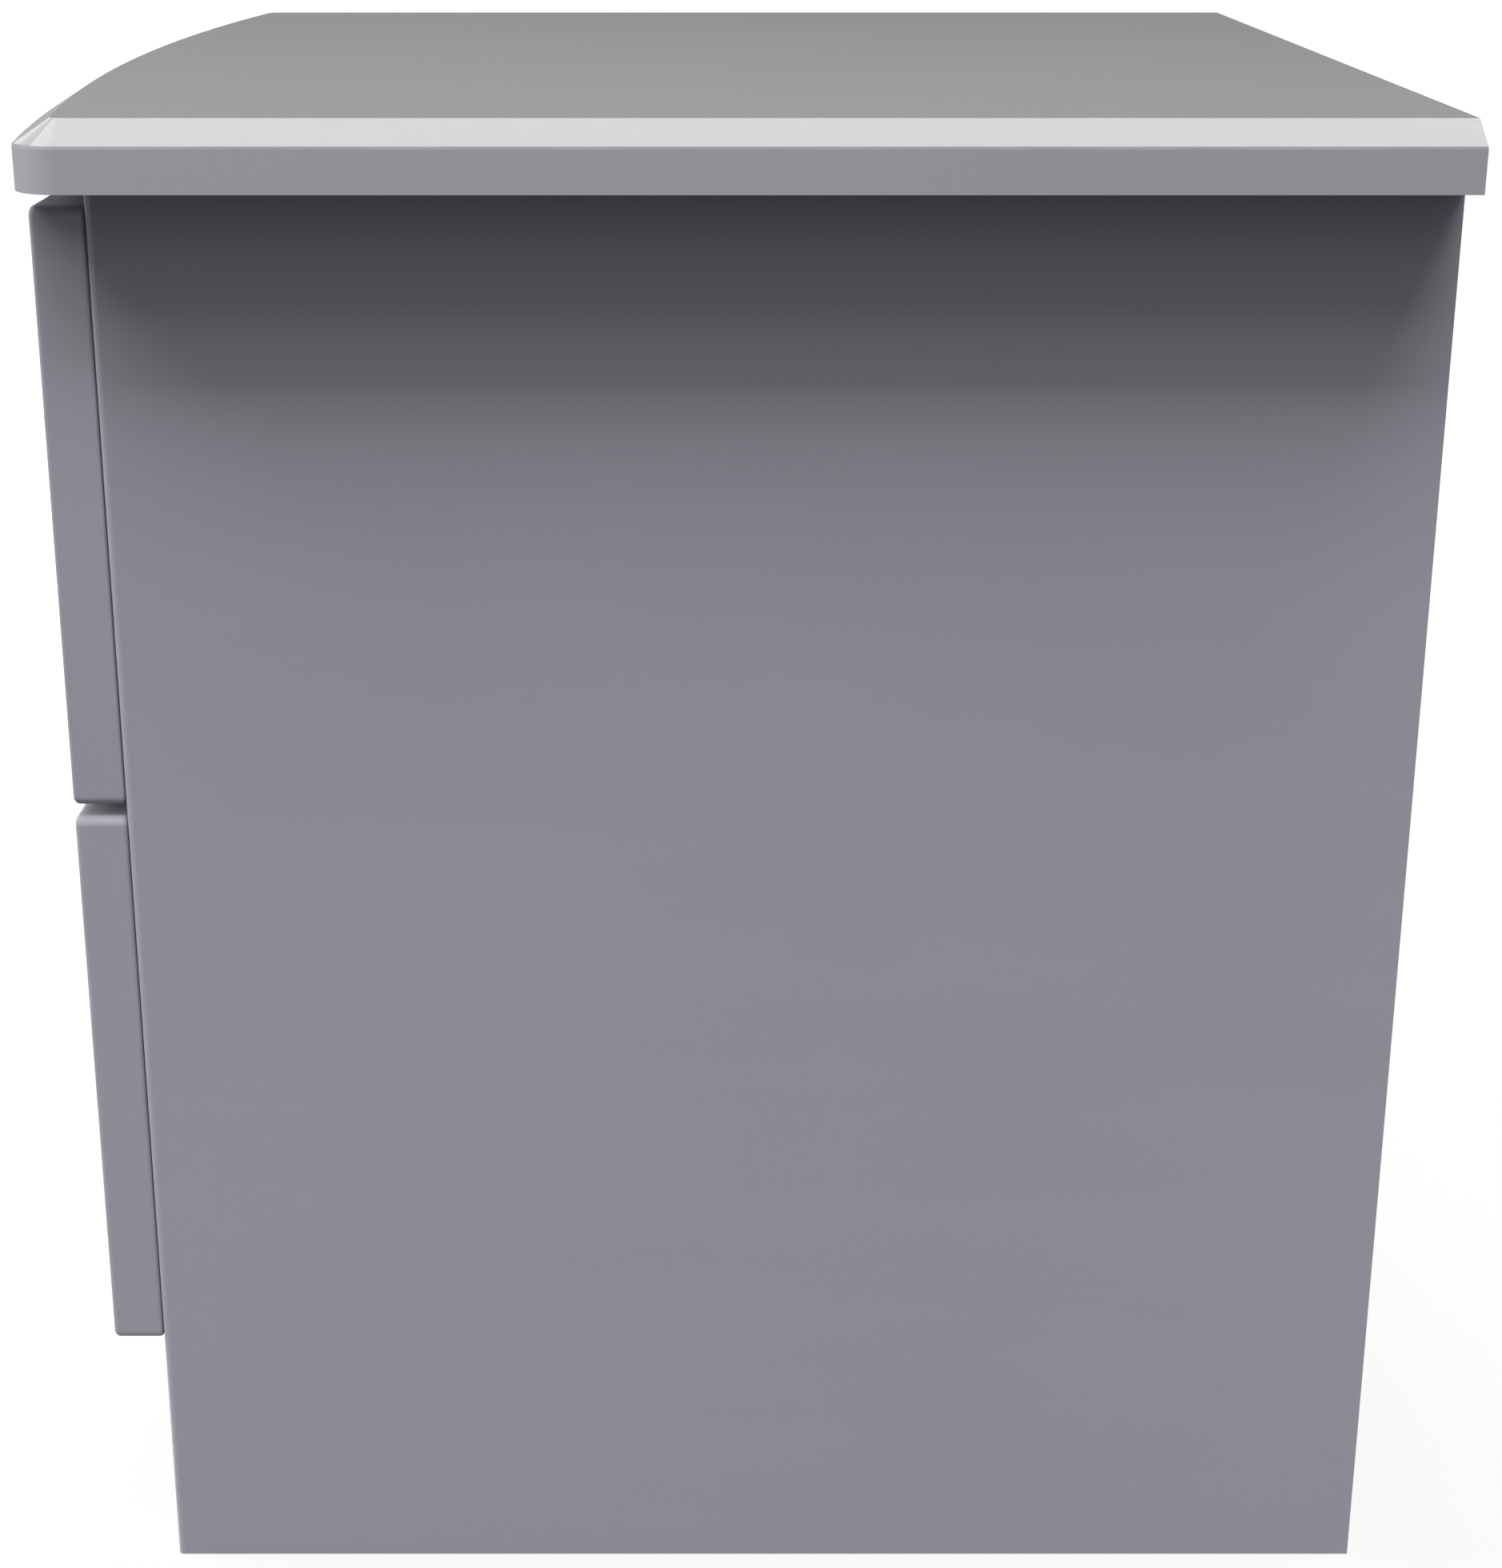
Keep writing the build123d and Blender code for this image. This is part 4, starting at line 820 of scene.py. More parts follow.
class TurnedTree:
    """A Geometry Nodes tree that turns an outline into a fitting and sets it on every site.

    An outline is a list of pairs: the input that gives the radius, or None on the axis, and the inputs whose sum is
    the height above the tip.
    """

    NUMBER = "NodeSocketFloat"
    WHOLE = "NodeSocketInt"

    def __init__(self, name: str, sizes: dict[str, float], outline: list[tuple], sides: int, seed: int) -> None:
        """Builds the tree.

        Args:
            name: The tree's name.
            sizes: The named inputs and their first values.
            outline: The outline's pairs, from the tip to the head.
            sides: Number of flats round the turned shape.
            seed: Seed of the turn that each fitting is left at.
        """
        inputs: dict[str, tuple[str, object]] = {"Sites": ("NodeSocketGeometry", None)}
        inputs.update({key: (self.NUMBER, value) for key, value in sizes.items()})
        inputs["Sides"] = (self.WHOLE, sides)
        inputs["Seed"] = (self.WHOLE, seed)
        inputs["Finish"] = ("NodeSocketMaterial", None)
        self.wiring = open_tree(name, "GeometryNodeTree", inputs, {"Fittings": "NodeSocketGeometry"})
        given = self.wiring.add("NodeGroupInput")
        self.given = {key: given.outputs[key] for key in inputs}
        shape = self.complete(self.turn(outline))
        self.wiring.add("NodeGroupOutput", {"Fittings": self.set_out(shape)})

    def turn(self, outline: list[tuple]) -> bpy.types.NodeSocket:
        """Turns the outline round the upright axis.

        Args:
            outline: The outline's pairs.

        Returns:
            The turned shell.
        """
        wiring = self.wiring
        flats = wiring.math("ADD", self.given["Sides"], 1.0)
        rows = len(outline) - 1
        sheet = wiring.add(
            "GeometryNodeMeshGrid", {"Size X": 1.0, "Size Y": 1.0, "Vertices X": flats, "Vertices Y": rows + 1}
        )
        x, y, _ = wiring.split(wiring.add("GeometryNodeInputPosition").outputs[0])
        angle = wiring.math("MULTIPLY", wiring.math("ADD", x, 0.5), math.tau)
        row = wiring.math("MULTIPLY", wiring.math("ADD", y, 0.5), float(rows))
        step = wiring.add("FunctionNodeFloatToInt", {0: row}, rounding_mode="ROUND").outputs[0]
        pick = wiring.add("GeometryNodeIndexSwitch", data_type="VECTOR")
        while len(pick.index_switch_items) < len(outline):
            pick.index_switch_items.new()
        wiring.feed(pick.inputs[0], step)
        for place, (radius, heights) in enumerate(outline):
            reach = self.given[radius] if radius else 0.0
            rise = wiring.total([self.given[height] for height in heights])
            wiring.feed(pick.inputs[place + 1], wiring.join(reach, 0.0, rise))
        reach, _, rise = wiring.split(pick.outputs[0])
        around = wiring.join(
            wiring.math("MULTIPLY", reach, wiring.math("COSINE", angle)),
            wiring.math("MULTIPLY", reach, wiring.math("SINE", angle)),
            rise,
        )
        rolled = wiring.add("GeometryNodeSetPosition", {"Geometry": sheet.outputs["Mesh"], "Position": around})
        closed = wiring.add("GeometryNodeMergeByDistance", {"Geometry": rolled.outputs[0], "Distance": 2e-6})
        return closed.outputs[0]

    def complete(self, shell: bpy.types.NodeSocket) -> bpy.types.NodeSocket:
        """Adds what isn't turned; a plain fitting has nothing more."""
        return shell

    def set_out(self, shape: bpy.types.NodeSocket) -> bpy.types.NodeSocket:
        """Sets the shape on every site, turned to its axis, as one real mesh with its finish.

        Args:
            shape: One fitting, standing on its tip.

        Returns:
            All the fittings.
        """
        wiring = self.wiring
        axis = wiring.add("GeometryNodeInputNamedAttribute", {"Name": "axis"}, data_type="FLOAT_VECTOR")
        stand = wiring.add("FunctionNodeAlignRotationToVector", {"Vector": axis.outputs[0]}, axis="Z")
        placed = wiring.add(
            "GeometryNodeInstanceOnPoints",
            {"Points": self.given["Sites"], "Instance": shape, "Rotation": stand.outputs[0]},
        )
        chance = wiring.add("FunctionNodeRandomValue", {2: 0.0, 3: math.tau, "Seed": self.given["Seed"]}, data_type="FLOAT")
        left_at = wiring.add(
            "GeometryNodeRotateInstances",
            {"Instances": placed.outputs[0], "Rotation": wiring.join(0.0, 0.0, chance.outputs[1]), "Local Space": True},
        )
        real = wiring.add("GeometryNodeRealizeInstances", {"Geometry": left_at.outputs[0]})
        return wiring.add(
            "GeometryNodeSetMaterial", {"Geometry": real.outputs[0], "Material": self.given["Finish"]}
        ).outputs[0]

    def make(self, name: str, sites: Sites, sizes: dict[str, float], finish: bpy.types.Material) -> bpy.types.Object:
        """Runs the tree on some sites and keeps the result as a plain mesh.

        Args:
            name: The new piece's name.
            sites: Where the fittings go.
            sizes: Values for the named inputs.
            finish: The fittings' material.

        Returns:
            The finished piece.
        """
        points = bpy.data.meshes.new(name + "_sites")
        points.from_pydata([tuple(tip) for tip in sites.tips], [], [])
        axes = points.attributes.new("axis", "FLOAT_VECTOR", "POINT")
        for item, axis in zip(axes.data, sites.axes):
            item.vector = axis
        piece = bpy.data.objects.new(name, points)
        bpy.context.scene.collection.objects.link(piece)
        modifier = piece.modifiers.new("fittings", "NODES")
        modifier.node_group = self.wiring.tree
        values: dict[str, object] = {**sizes, "Finish": finish}
        for socket in self.wiring.tree.interface.items_tree:
            if socket.in_out == "INPUT" and socket.name in values:
                modifier[socket.identifier] = values[socket.name]
        evaluated = piece.evaluated_get(bpy.context.evaluated_depsgraph_get())
        made = bpy.data.meshes.new_from_object(evaluated)
        piece.modifiers.clear()
        piece.data = made
        made.name = name
        bpy.data.meshes.remove(points)
        made.polygons.foreach_set("use_smooth", [True] * len(made.polygons))
        made.set_sharp_from_angle(angle=math.radians(32.0))
        return piece


class ScrewTree(TurnedTree):
    """Screws and pins: a turned core and head, a thread, and a cross cut into the head."""

    SIZES = {
        "Tip": 0.5 * MM, "Tip Length": 3.5 * MM, "Core": 1.5 * MM, "Length": 20 * MM, "Seat": 4 * MM, "Head": 4 * MM,
        "Rim": 1 * MM, "Shoulder": 3.5 * MM, "Shoulder Rise": 1.5 * MM, "Crown": 2.2 * MM, "Head Height": 2 * MM,
        "Pitch": 1.4 * MM, "Thread": 0.5 * MM, "Cross Length": 4.4 * MM, "Cross Width": 0.9 * MM, "Cross Depth": 1.3 * MM,
    }
    OUTLINE = [
        (None, []), ("Tip", []), ("Core", ["Tip Length"]), ("Core", ["Length"]), ("Seat", ["Length"]),
        ("Head", ["Length", "Rim"]), ("Shoulder", ["Length", "Shoulder Rise"]), ("Crown", ["Length", "Head Height"]),
        (None, ["Length", "Head Height"]),
    ]

    def __init__(self, name: str, drive: Drive, sides: int, seed: int) -> None:
        """Builds the tree.

        Args:
            name: The tree's name.
            drive: What is cut into the head; a plain head also has a plain shank.
            sides: Number of flats round the head.
            seed: Seed of the turn that each screw is left at.
        """
        self.drive = drive
        super().__init__(name, self.SIZES, self.OUTLINE, sides, seed)

    def complete(self, shell: bpy.types.NodeSocket) -> bpy.types.NodeSocket:
        """Cuts the cross and winds the thread.

        Args:
            shell: The turned core and head.

        Returns:
            The whole screw.
        """
        if self.drive is Drive.PLAIN:
            return shell
        wiring, given = self.wiring, self.given
        top = wiring.join(0.0, 0.0, wiring.math("ADD", given["Length"], given["Head Height"]))
        deep = wiring.math("MULTIPLY", given["Cross Depth"], 2.0)
        cut = wiring.add("GeometryNodeMeshBoolean", {"Mesh 1": shell}, operation="DIFFERENCE", solver="EXACT")
        for size in ((given["Cross Length"], given["Cross Width"]), (given["Cross Width"], given["Cross Length"])):
            blade = wiring.add("GeometryNodeMeshCube", {"Size": wiring.join(size[0], size[1], deep)})
            set_in = wiring.add("GeometryNodeTransform", {"Geometry": blade.outputs[0], "Translation": top})
            wiring.feed(cut.inputs["Mesh 2"], set_in.outputs[0])
        run = wiring.math("SUBTRACT", given["Length"], given["Tip Length"])
        helix = wiring.add(
            "GeometryNodeCurveSpiral",
            {
                "Resolution": 14, "Rotations": wiring.math("DIVIDE", run, given["Pitch"]), "Start Radius": given["Core"],
                "End Radius": given["Core"], "Height": run,
            },
        )
        ridge = wiring.add("GeometryNodeCurvePrimitiveCircle", {"Resolution": 3, "Radius": given["Thread"]})
        wound = wiring.add(
            "GeometryNodeCurveToMesh",
            {"Curve": helix.outputs[0], "Profile Curve": ridge.outputs[0], "Fill Caps": True},
        )
        lifted = wiring.add(
            "GeometryNodeTransform",
            {"Geometry": wound.outputs[0], "Translation": wiring.join(0.0, 0.0, given["Tip Length"])},
        )
        whole = wiring.add("GeometryNodeJoinGeometry", {"Geometry": cut.outputs[0]})
        wiring.feed(whole.inputs["Geometry"], lifted.outputs[0])
        return whole.outputs[0]


class RivetTree(TurnedTree):
    """Rivets with a collar that keeps the roller off the steel and a low domed head."""

    SIZES = {
        "Shank": 2.5 * MM, "Steel": 1.2 * MM, "Collar": 4 * MM, "Collar Height": 0.8 * MM, "Length": 10 * MM,
        "Head": 4.5 * MM, "Rim": 0.3 * MM, "Shoulder": 3.6 * MM, "Shoulder Rise": 0.65 * MM, "Crown": 1.6 * MM,
        "Head Height": 0.8 * MM,
    }
    OUTLINE = [
        (None, []), ("Shank", []), ("Shank", ["Steel"]), ("Collar", ["Steel"]), ("Collar", ["Steel", "Collar Height"]),
        ("Shank", ["Steel", "Collar Height"]), ("Shank", ["Length"]), ("Head", ["Length"]), ("Head", ["Length", "Rim"]),
        ("Shoulder", ["Length", "Shoulder Rise"]), ("Crown", ["Length", "Head Height"]), (None, ["Length", "Head Height"]),
    ]

    def __init__(self) -> None:
        """Builds the tree."""
        super().__init__("roller_rivet", self.SIZES, self.OUTLINE, 32, 5)


class RollerTree(TurnedTree):
    """Moulded rollers: a tread and a hub joined by a thin web with ribs on both of its faces."""

    SIZES = {
        "Bore": 2.56 * MM, "Hub": 4.1 * MM, "Rim": 6.3 * MM, "Land": 7.4 * MM, "Tread": 8 * MM, "Width": 6.7 * MM,
        "Chamfer": 0.6 * MM, "Recess": 1.5 * MM, "Far Recess": 5.2 * MM, "Far Chamfer": 6.1 * MM, "Rib": 0.9 * MM,
    }
    OUTLINE = [
        ("Bore", []), ("Hub", []), ("Hub", ["Recess"]), ("Rim", ["Recess"]), ("Rim", []), ("Land", []),
        ("Tread", ["Chamfer"]), ("Tread", ["Far Chamfer"]), ("Land", ["Width"]), ("Rim", ["Width"]),
        ("Rim", ["Far Recess"]), ("Hub", ["Far Recess"]), ("Hub", ["Width"]), ("Bore", ["Width"]), ("Bore", []),
    ]
    RIBS = 8

    def __init__(self) -> None:
        """Builds the tree."""
        super().__init__("ribbed_roller", self.SIZES, self.OUTLINE, 56, 7)

    def complete(self, shell: bpy.types.NodeSocket) -> bpy.types.NodeSocket:
        """Stands the ribs between the hub and the tread.

        Args:
            shell: The turned hub, web and tread.

        Returns:
            The whole roller.
        """
        wiring, given = self.wiring, self.given
        middle = wiring.math("MULTIPLY", wiring.math("ADD", given["Hub"], given["Rim"]), 0.5)
        ring = wiring.add("GeometryNodeMeshCircle", {"Vertices": self.RIBS, "Radius": middle})
        reach = wiring.math("ADD", wiring.math("SUBTRACT", given["Rim"], given["Hub"]), 0.4 * MM)
        height = wiring.math("SUBTRACT", given["Width"], 0.5 * MM)
        rib = wiring.add("GeometryNodeMeshCube", {"Size": wiring.join(reach, given["Rib"], height)})
        step = wiring.math("MULTIPLY", wiring.add("GeometryNodeInputIndex").outputs[0], math.tau / self.RIBS)
        spread = wiring.add(
            "GeometryNodeInstanceOnPoints",
            {"Points": ring.outputs[0], "Instance": rib.outputs[0], "Rotation": wiring.join(0.0, 0.0, step)},
        )
        half = wiring.join(0.0, 0.0, wiring.math("MULTIPLY", given["Width"], 0.5))
        lifted = wiring.add("GeometryNodeTransform", {"Geometry": spread.outputs[0], "Translation": half})
        whole = wiring.add("GeometryNodeJoinGeometry", {"Geometry": shell})
        wiring.feed(whole.inputs["Geometry"], lifted.outputs[0])
        return whole.outputs[0]


@dataclass(frozen=True)
class Screw:
    """Sizes of one kind of screw or pin, as diameters and heights.

    Attributes:
        head: Diameter of the head.
        height: Height of the head.
        shank: Diameter over the thread.
        tip: Diameter of the tip.
        tip_length: Length of the taper to the tip.
        thread: Height of the thread; none on a pin.
        sunk: Whether the head is a cone that sinks into the board.
        cross: Length of the cross.
    """

    head: float
    height: float
    shank: float
    tip: float
    tip_length: float
    thread: float = 0.45 * MM
    sunk: bool = False
    cross: float = 4.4 * MM

    def sizes(self, length: float) -> dict[str, float]:
        """Values for the inputs of a screw tree.

        Args:
            length: Length from the tip to the crown of the head.

        Returns:
            Each input's value by name.
        """
        core = self.shank / 2 - self.thread
        head = self.head / 2
        return {
            "Tip": self.tip / 2, "Tip Length": self.tip_length, "Core": core, "Length": length - self.height,
            "Seat": self.shank / 2 if self.sunk else head, "Head": head,
            "Rim": self.height * (1.0 if self.sunk else 0.4), "Shoulder": head * (1.0 if self.sunk else 0.9),
            "Shoulder Rise": self.height * (1.0 if self.sunk else 0.72), "Crown": head * (1.0 if self.sunk else 0.58),
            "Head Height": self.height, "Pitch": 1.5 * MM, "Thread": self.thread, "Cross Length": self.cross,
            "Cross Width": 0.95 * MM, "Cross Depth": max(0.75 * self.height, 0.8 * MM),
        }


@dataclass
class Fittings:
    """The trees that make the small fittings, and the finishes that they take.

    Attributes:
        finishes: The cabinet's finishes.
    """

    finishes: Finishes
    screws: ScrewTree = field(default_factory=lambda: ScrewTree("cross_screw", Drive.CROSS, 28, 3))
    pins: ScrewTree = field(default_factory=lambda: ScrewTree("plain_pin", Drive.PLAIN, 16, 4))
    rivets: RivetTree = field(default_factory=RivetTree)
    rollers: RollerTree = field(default_factory=RollerTree)

    def settle(self, piece: bpy.types.Object, node: str, body: str) -> None:
        """Puts a new piece in a node's place.

        Args:
            piece: The new piece.
            node: The node that it stands for.
            body: The body that it rides on.
        """
        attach(piece, body)
        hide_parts(node)
        LOG.info("%s: %d faces on %s", piece.name, len(piece.data.polygons), body)

    def screw(self, node: str, body: str, axis: Axis, kind: Screw) -> None:
        """Makes the screws or pins of a node again.

        Args:
            node: The node that holds them.
            body: The body that they ride on.
            axis: The axis that they lie along.
            kind: Their sizes.
        """
        sites = Sites.of_node(node, axis)
        tree = self.screws if kind.thread else self.pins
        piece = tree.make(node + "_detailed", sites, kind.sizes(sites.length), self.finishes.materials["zinc_plate"])
        self.settle(piece, node, body)

    def rivet(self, node: str, body: str) -> None:
        """Makes the roller rivets of a node again.

        Args:
            node: The node that holds them.
            body: The body that they ride on.
        """
        sites = Sites.of_node(node, Axis.X)
        sizes = {"Length": sites.length - RivetTree.SIZES["Head Height"]}
        piece = self.rivets.make(node + "_detailed", sites, sizes, self.finishes.materials["zinc_plate"])
        self.settle(piece, node, body)

    def roller(self, name: str) -> None:
        """Makes a roller again, on the body of the same name.

        Args:
            name: The roller's node and body.
        """
        low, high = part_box(name)
        middle = (low + high) / 2
        sites = Sites([Vector((low.x, middle.y, middle.z))], [Vector((1.0, 0.0, 0.0))], high.x - low.x)
        piece = self.rollers.make(name + "_ribbed", sites, {}, self.finishes.materials["roller_nylon"])
        self.settle(piece, name, name)


# The cabinet


BOX_BOARDS = ("box_front", "box_back", "left_side", "right_side", "bottom")


@dataclass
class Carcass:
    """Top, sides, base, plinth, rails and back, with what holds them together."""

    body: str = "carcass"
    runner_screw: Screw = Screw(head=8 * MM, height=1 * MM, shank=3.5 * MM, tip=1 * MM, tip_length=3.5 * MM)
    top_screw: Screw = Screw(head=8 * MM, height=2 * MM, shank=4 * MM, tip=1 * MM, tip_length=3.5 * MM, sunk=True)
    back_pin: Screw = Screw(head=3.2 * MM, height=0.5 * MM, shank=1.4 * MM, tip=0.5 * MM, tip_length=1.5 * MM, thread=0.0)

    def build(self, fittings: Fittings) -> None:
        """Makes the carcass's fasteners again.

        Args:
            fittings: The trees that make them.
        """
        fittings.screw("top_fixing_screws", self.body, Axis.Z, self.top_screw)
        fittings.screw("cabinet_runner_screws", self.body, Axis.X, self.runner_screw)
        fittings.screw("back_panel_pins", self.body, Axis.Y, self.back_pin)
        fittings.rivet("cabinet_roller_rivets", self.body)

    def dress(self, finishes: Finishes) -> None:
        """Gives the carcass's boards and fittings their finishes.

        Args:
            finishes: The cabinet's finishes.
        """
        finishes.dress("top_panel", "top_foil")
        for hand in Hand:
            finishes.dress(f"{hand.value}_side_panel", "side_board")
            finishes.dress(f"{hand.value}_front_edging", "front_edging")
        for board in ("base_panel", "front_top_rail", "rear_top_rail"):
            finishes.dress(board, "cross_board")
        finishes.dress("plinth_board", "plinth_face")
        finishes.dress("back_panel", "back_hardboard")
        finishes.dress("carcass_dowels", "dowel_beech")
        for fitting in ("cam_bolts", "cam_locks"):
            finishes.dress(fitting, "zinc_plate")
        for level in Level:
            for hand in Hand:
                finishes.dress(f"{level.value}_{hand.value}_cabinet_runner", "runner_coat")


@dataclass
class Drawer:
    """One drawer: its front and handle, its box, its runners and the four rollers that it runs on.

    Attributes:
        level: Which of the two drawers it is.
    """

    level: Level
    front_screw: Screw = Screw(head=8 * MM, height=2 * MM, shank=4 * MM, tip=1 * MM, tip_length=3.5 * MM)
    handle_screw: Screw = Screw(
        head=8 * MM, height=2.4 * MM, shank=4 * MM, tip=3 * MM, tip_length=0.8 * MM, thread=0.35 * MM
    )
    runner_screw: Screw = Screw(head=8 * MM, height=1 * MM, shank=3.5 * MM, tip=1 * MM, tip_length=3.5 * MM)

    @property
    def body(self) -> str:
        """Name of the body that the drawer's pieces ride on."""
        return f"{self.level.value}_drawer"

    def build(self, fittings: Fittings) -> None:
        """Makes the drawer's fasteners and its rollers again.

        Args:
            fittings: The trees that make them.
        """
        word = self.level.value
        fittings.screw(f"{word}_front_screws", self.body, Axis.Y, self.front_screw)
        fittings.screw(f"{word}_handle_screws", self.body, Axis.Y, self.handle_screw)
        fittings.screw(f"{word}_drawer_runner_screws", self.body, Axis.Z, self.runner_screw)
        fittings.rivet(f"{word}_drawer_roller_rivets", self.body)
        for hand in Hand:
            for end in ("front", "rear"):
                fittings.roller(f"{word}_{hand.value}_{end}_roller")

    def dress(self, finishes: Finishes) -> None:
        """Gives the drawer's boards, runners and handle their finishes.

        Args:
            finishes: The cabinet's finishes.
        """
        word = self.level.value
        finishes.dress(f"{word}_front_panel", "front_foil")
        finishes.dress(f"{word}_handle", "satin_nickel")
        for board in BOX_BOARDS:
            finishes.dress(f"{word}_drawer_{board}", "drawer_linen")
        finishes.dress(f"{word}_drawer_dowels", "dowel_beech")
        for hand in Hand:
            finishes.dress(f"{word}_drawer_{hand.value}_runner", "runner_coat")


# The studio


TOP = ("top_panel",)
LOWER_FRONT = ("lower_front_panel",)
UPPER_FRONT = ("upper_front_panel",)
FRONTS = LOWER_FRONT + UPPER_FRONT
SIDE_FACES = ("right_side_panel", "right_front_edging")
DRAWER_BOXES = tuple(f"{level.value}_drawer_{board}" for level in Level for board in BOX_BOARDS)


@dataclass(frozen=True)
class Softbox:
    """A flat soft light.

    Attributes:
        name: The light's name.
        at: Its middle.
        towards: The point that it faces.
        size: Its width and height.
        radiance: How bright its face looks.
        lit: Nodes that it lights; none means everything.
        spared: Nodes that it leaves out.
        warmth: How much blue is taken out of its white.
        roll: Turn about the way that it faces, in degrees.
    """

    name: str
    at: Point
    towards: Point
    size: tuple[float, float]
    radiance: float
    lit: tuple[str, ...] = ()
    spared: tuple[str, ...] = ()
    warmth: float = 0.0
    roll: float = 0.0

    def build(self) -> None:
        """Hangs the light."""
        lamp = bpy.data.lights.new(self.name, "AREA")
        lamp.shape = "RECTANGLE"
        lamp.size, lamp.size_y = self.size
        lamp.energy = self.radiance * math.pi * self.size[0] * self.size[1]
        lamp.color = (1.0, 1.0 - self.warmth / 12, 1.0 - self.warmth)
        holder = bpy.data.objects.new(self.name, lamp)
        bpy.context.scene.collection.objects.link(holder)
        holder.location = self.at
        aim = Vector(self.towards) - Vector(self.at)
        turn = Quaternion((0.0, 0.0, 1.0), math.radians(self.roll))
        holder.rotation_euler = (aim.to_track_quat("-Z", "Y") @ turn).to_euler()
        holder.visible_camera = False
        if self.lit or self.spared:
            receivers = bpy.data.collections.new(self.name + "_lit")
            for node in self.lit + self.spared:
                receivers.objects.link(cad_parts[node])
            for member in receivers.collection_objects:
                member.light_linking.link_state = "INCLUDE" if self.lit else "EXCLUDE"
            holder.light_linking.receiver_collection = receivers
        LOG.info("light %s", self.name)


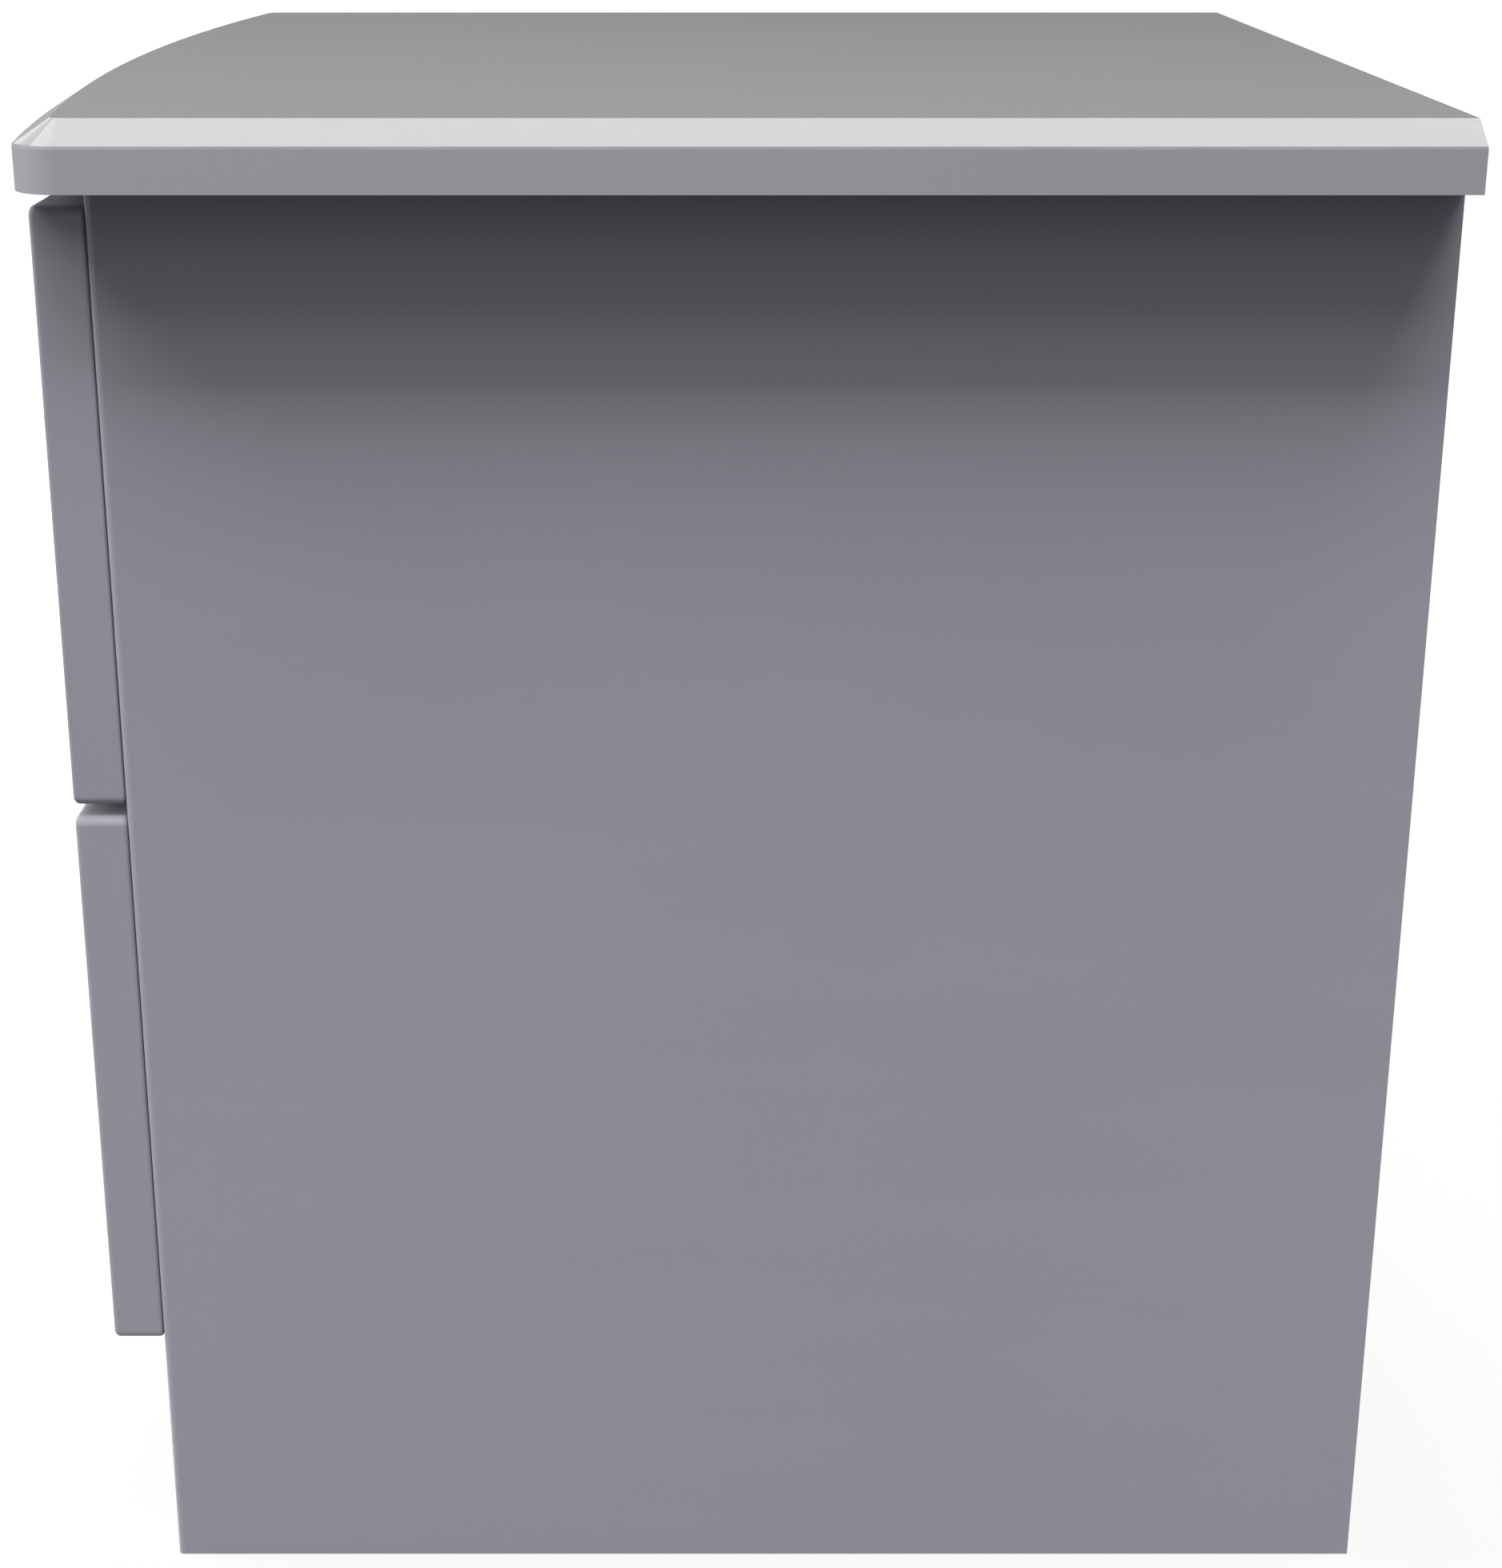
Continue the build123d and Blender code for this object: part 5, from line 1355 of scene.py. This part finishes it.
@dataclass
class Studio:
    """White floor and surroundings, soft lights, and the photograph's camera."""

    floor_size: float = 40.0
    floor_grey: float = 0.30
    # Floor glow near the cabinet; further out it rises to full white as painted light.
    floor_glow: float = 0.85
    ambient: float = 0.10
    camera_at: Point = (0.9919, 0.0005, 0.5923)
    camera_pitch: float = 17.585
    lens: float = 60.27
    shift: tuple[float, float] = (0.0294, -0.0924)
    lights: tuple[Softbox, ...] = (
        Softbox("overhead", (-0.288, 0.0, 2.0), (-0.288, 0.0, 0.0), (0.15, 1.9), 7.9, spared=FRONTS, warmth=-0.05),
        Softbox("corner_sheen_high", (-0.44, -0.88, 1.79), (0.215, -0.197, 0.5), (0.22, 0.46), 5.2, TOP),
        Softbox("corner_sheen_low", (-0.89, -1.0, 1.28), (0.215, -0.197, 0.5), (0.22, 0.97), 1.4, TOP, roll=-25.0),
        Softbox("top_wash", (0.30, 0.0, 1.10), (0.30, 0.0, 0.0), (0.2, 2.4), 2.8, TOP, warmth=0.40),
        Softbox("side_wash_steep", (2.775, -3.0, 14.0), (2.775, -3.0, 0.0), (3.89, 18.0), 35.7, SIDE_FACES),
        Softbox("side_wash_middle", (6.03, -3.0, 14.0), (6.03, -3.0, 0.0), (3.24, 20.0), 6.6, SIDE_FACES + FRONTS),
        Softbox("side_wash_low", (14.7, 0.0, 14.0), (14.7, 0.0, 0.0), (14.2, 26.0), 0.80, SIDE_FACES + FRONTS),
        Softbox("side_wash_level", (12.0, 0.0, 5.0), (0.0, 0.0, 5.0), (20.0, 6.0), 0.24, SIDE_FACES + FRONTS),
        Softbox("front_ends", (2.7, -1.0, 3.7), (0.2, -0.2, 0.3), (2.2, 2.6), 3.3, FRONTS),
        Softbox("upper_front_steep", (4.27, 4.2, 14.0), (4.27, 4.2, 0.0), (3.2, 15.6), 17.6, UPPER_FRONT),
        Softbox("lower_front_level", (3.2, -0.6, 1.4), (0.2, -0.2, 0.2), (1.2, 1.2), 7.7, LOWER_FRONT),
        Softbox("edge_fill", (3.0, 0.0, 1.3), (0.2, 0.0, 0.5), (1.2, 1.6), 9.5, TOP),
        Softbox("corner_fill", (0.9, -2.6, 0.6), (0.2, -0.2, 0.5), (1.0, 0.8), 18.5, TOP),
        Softbox("front_fill", (-0.45, -2.4, 1.1), (-0.05, 0.0, 0.3), (1.2, 1.2), 8.0, spared=TOP),
        Softbox("left_fill", (-2.6, -0.3, 1.1), (0.0, 0.0, 0.3), (1.2, 1.2), 7.0, spared=TOP),
        Softbox("back_fill", (-0.5, 2.6, 1.1), (-0.05, 0.0, 0.3), (1.2, 1.2), 6.0, spared=TOP),
        Softbox("right_fill", (2.6, -0.3, 1.1), (0.0, 0.0, 0.3), (1.2, 1.2), 7.5, DRAWER_BOXES),
        Softbox("left_edge_fill", (-2.4, 0.0, 0.28), (-0.2, 0.0, 0.45), (1.6, 0.4), 13.0, TOP),
        Softbox("back_edge_fill", (0.0, 2.6, 0.28), (0.0, 0.2, 0.45), (1.6, 0.4), 13.0, TOP),
    )

    def seen(self, wiring: Wiring) -> bpy.types.NodeSocket:
        """1 for rays that show the surroundings: straight, in a reflection or through glass.

        Args:
            wiring: The wiring of the floor's or the world's tree.

        Returns:
            The mask's socket.
        """
        path = wiring.add("ShaderNodeLightPath").outputs
        shown = wiring.math("MAXIMUM", path["Is Camera Ray"], path["Is Glossy Ray"])
        return wiring.math("MAXIMUM", shown, path["Is Transmission Ray"])

    def build_floor(self) -> None:
        """Lays a pale floor that keeps the cabinet's shadow, with painted light: its glow rises from the cabinet
        outwards.
        """
        half = self.floor_size / 2
        mesh = bpy.data.meshes.new("floor")
        mesh.from_pydata([(-half, -half, 0), (half, -half, 0), (half, half, 0), (-half, half, 0)], [], [(0, 1, 2, 3)])
        floor = bpy.data.objects.new("floor", mesh)
        bpy.context.scene.collection.objects.link(floor)
        material = bpy.data.materials.new("floor_white")
        material.use_nodes = True
        wiring = Wiring(material.node_tree)
        shader = material.node_tree.nodes["Principled BSDF"]
        place = wiring.add("ShaderNodeTexCoord").outputs["Object"]
        grain = wiring.noise(place, 60.0, 3.0)
        grey = self.floor_grey
        paint = wiring.mix(grain, (grey * 0.99, grey * 0.99, grey * 0.99), (grey * 1.01, grey * 1.01, grey * 1.01))
        wiring.feed(shader.inputs["Base Color"], paint)
        shader.inputs["Roughness"].default_value = 0.9
        shader.inputs["Specular IOR Level"].default_value = 0.0
        shader.inputs["Emission Color"].default_value = (1.0, 1.0, 1.0, 1.0)
        # Painted light: the floor glows less near the cabinet and full white from 1.8 m out, brightening the far floor
        # where the lamps fall off.
        away = wiring.add("ShaderNodeVectorMath", {0: place}, operation="LENGTH").outputs["Value"]
        painted_falloff_glow = wiring.span(away, 0.5, 1.8, self.floor_glow, 1.0)
        wiring.feed(shader.inputs["Emission Strength"], wiring.math("MULTIPLY", self.seen(wiring), painted_falloff_glow))
        mesh.materials.append(material)
        LOG.info("floor laid")

    def build_world(self) -> None:
        """Surrounds the cabinet with white that lights it only dimly."""
        world = bpy.data.worlds.new("white_room")
        bpy.context.scene.world = world
        world.use_nodes = True
        wiring = Wiring(world.node_tree)
        background = world.node_tree.nodes["Background"]
        background.inputs["Color"].default_value = (1.0, 1.0, 1.0, 1.0)
        strength = wiring.span(self.seen(wiring), 0.0, 1.0, self.ambient, 1.0)
        wiring.feed(background.inputs["Strength"], strength)
        LOG.info("world set")

    def build_camera(self) -> None:
        """Sets the camera where the photograph was taken from."""
        lens = bpy.data.cameras.new("photo_camera")
        lens.lens = self.lens
        lens.shift_x, lens.shift_y = self.shift
        lens.clip_end = 100.0
        camera = bpy.data.objects.new("photo_camera", lens)
        bpy.context.scene.collection.objects.link(camera)
        camera.location = self.camera_at
        camera.rotation_euler = (math.radians(90.0 - self.camera_pitch), 0.0, math.radians(90.0))
        bpy.context.scene.camera = camera
        LOG.info("camera set")

    def build(self) -> None:
        """Builds the floor, the surroundings, the lights and the camera."""
        bpy.context.scene.view_settings.view_transform = "Standard"
        self.build_floor()
        self.build_world()
        for light in self.lights:
            light.build()
        self.build_camera()


def main() -> None:
    """Builds the cabinet's looks."""
    logging.basicConfig(level=logging.INFO, format="%(name)s %(message)s")
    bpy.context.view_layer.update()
    finishes = Finishes()
    fittings = Fittings(finishes)
    for part in (Carcass(), Drawer(Level.LOWER), Drawer(Level.UPPER)):
        part.dress(finishes)
        part.build(fittings)
    Studio().build()


if __name__ == "__main__":
    main()
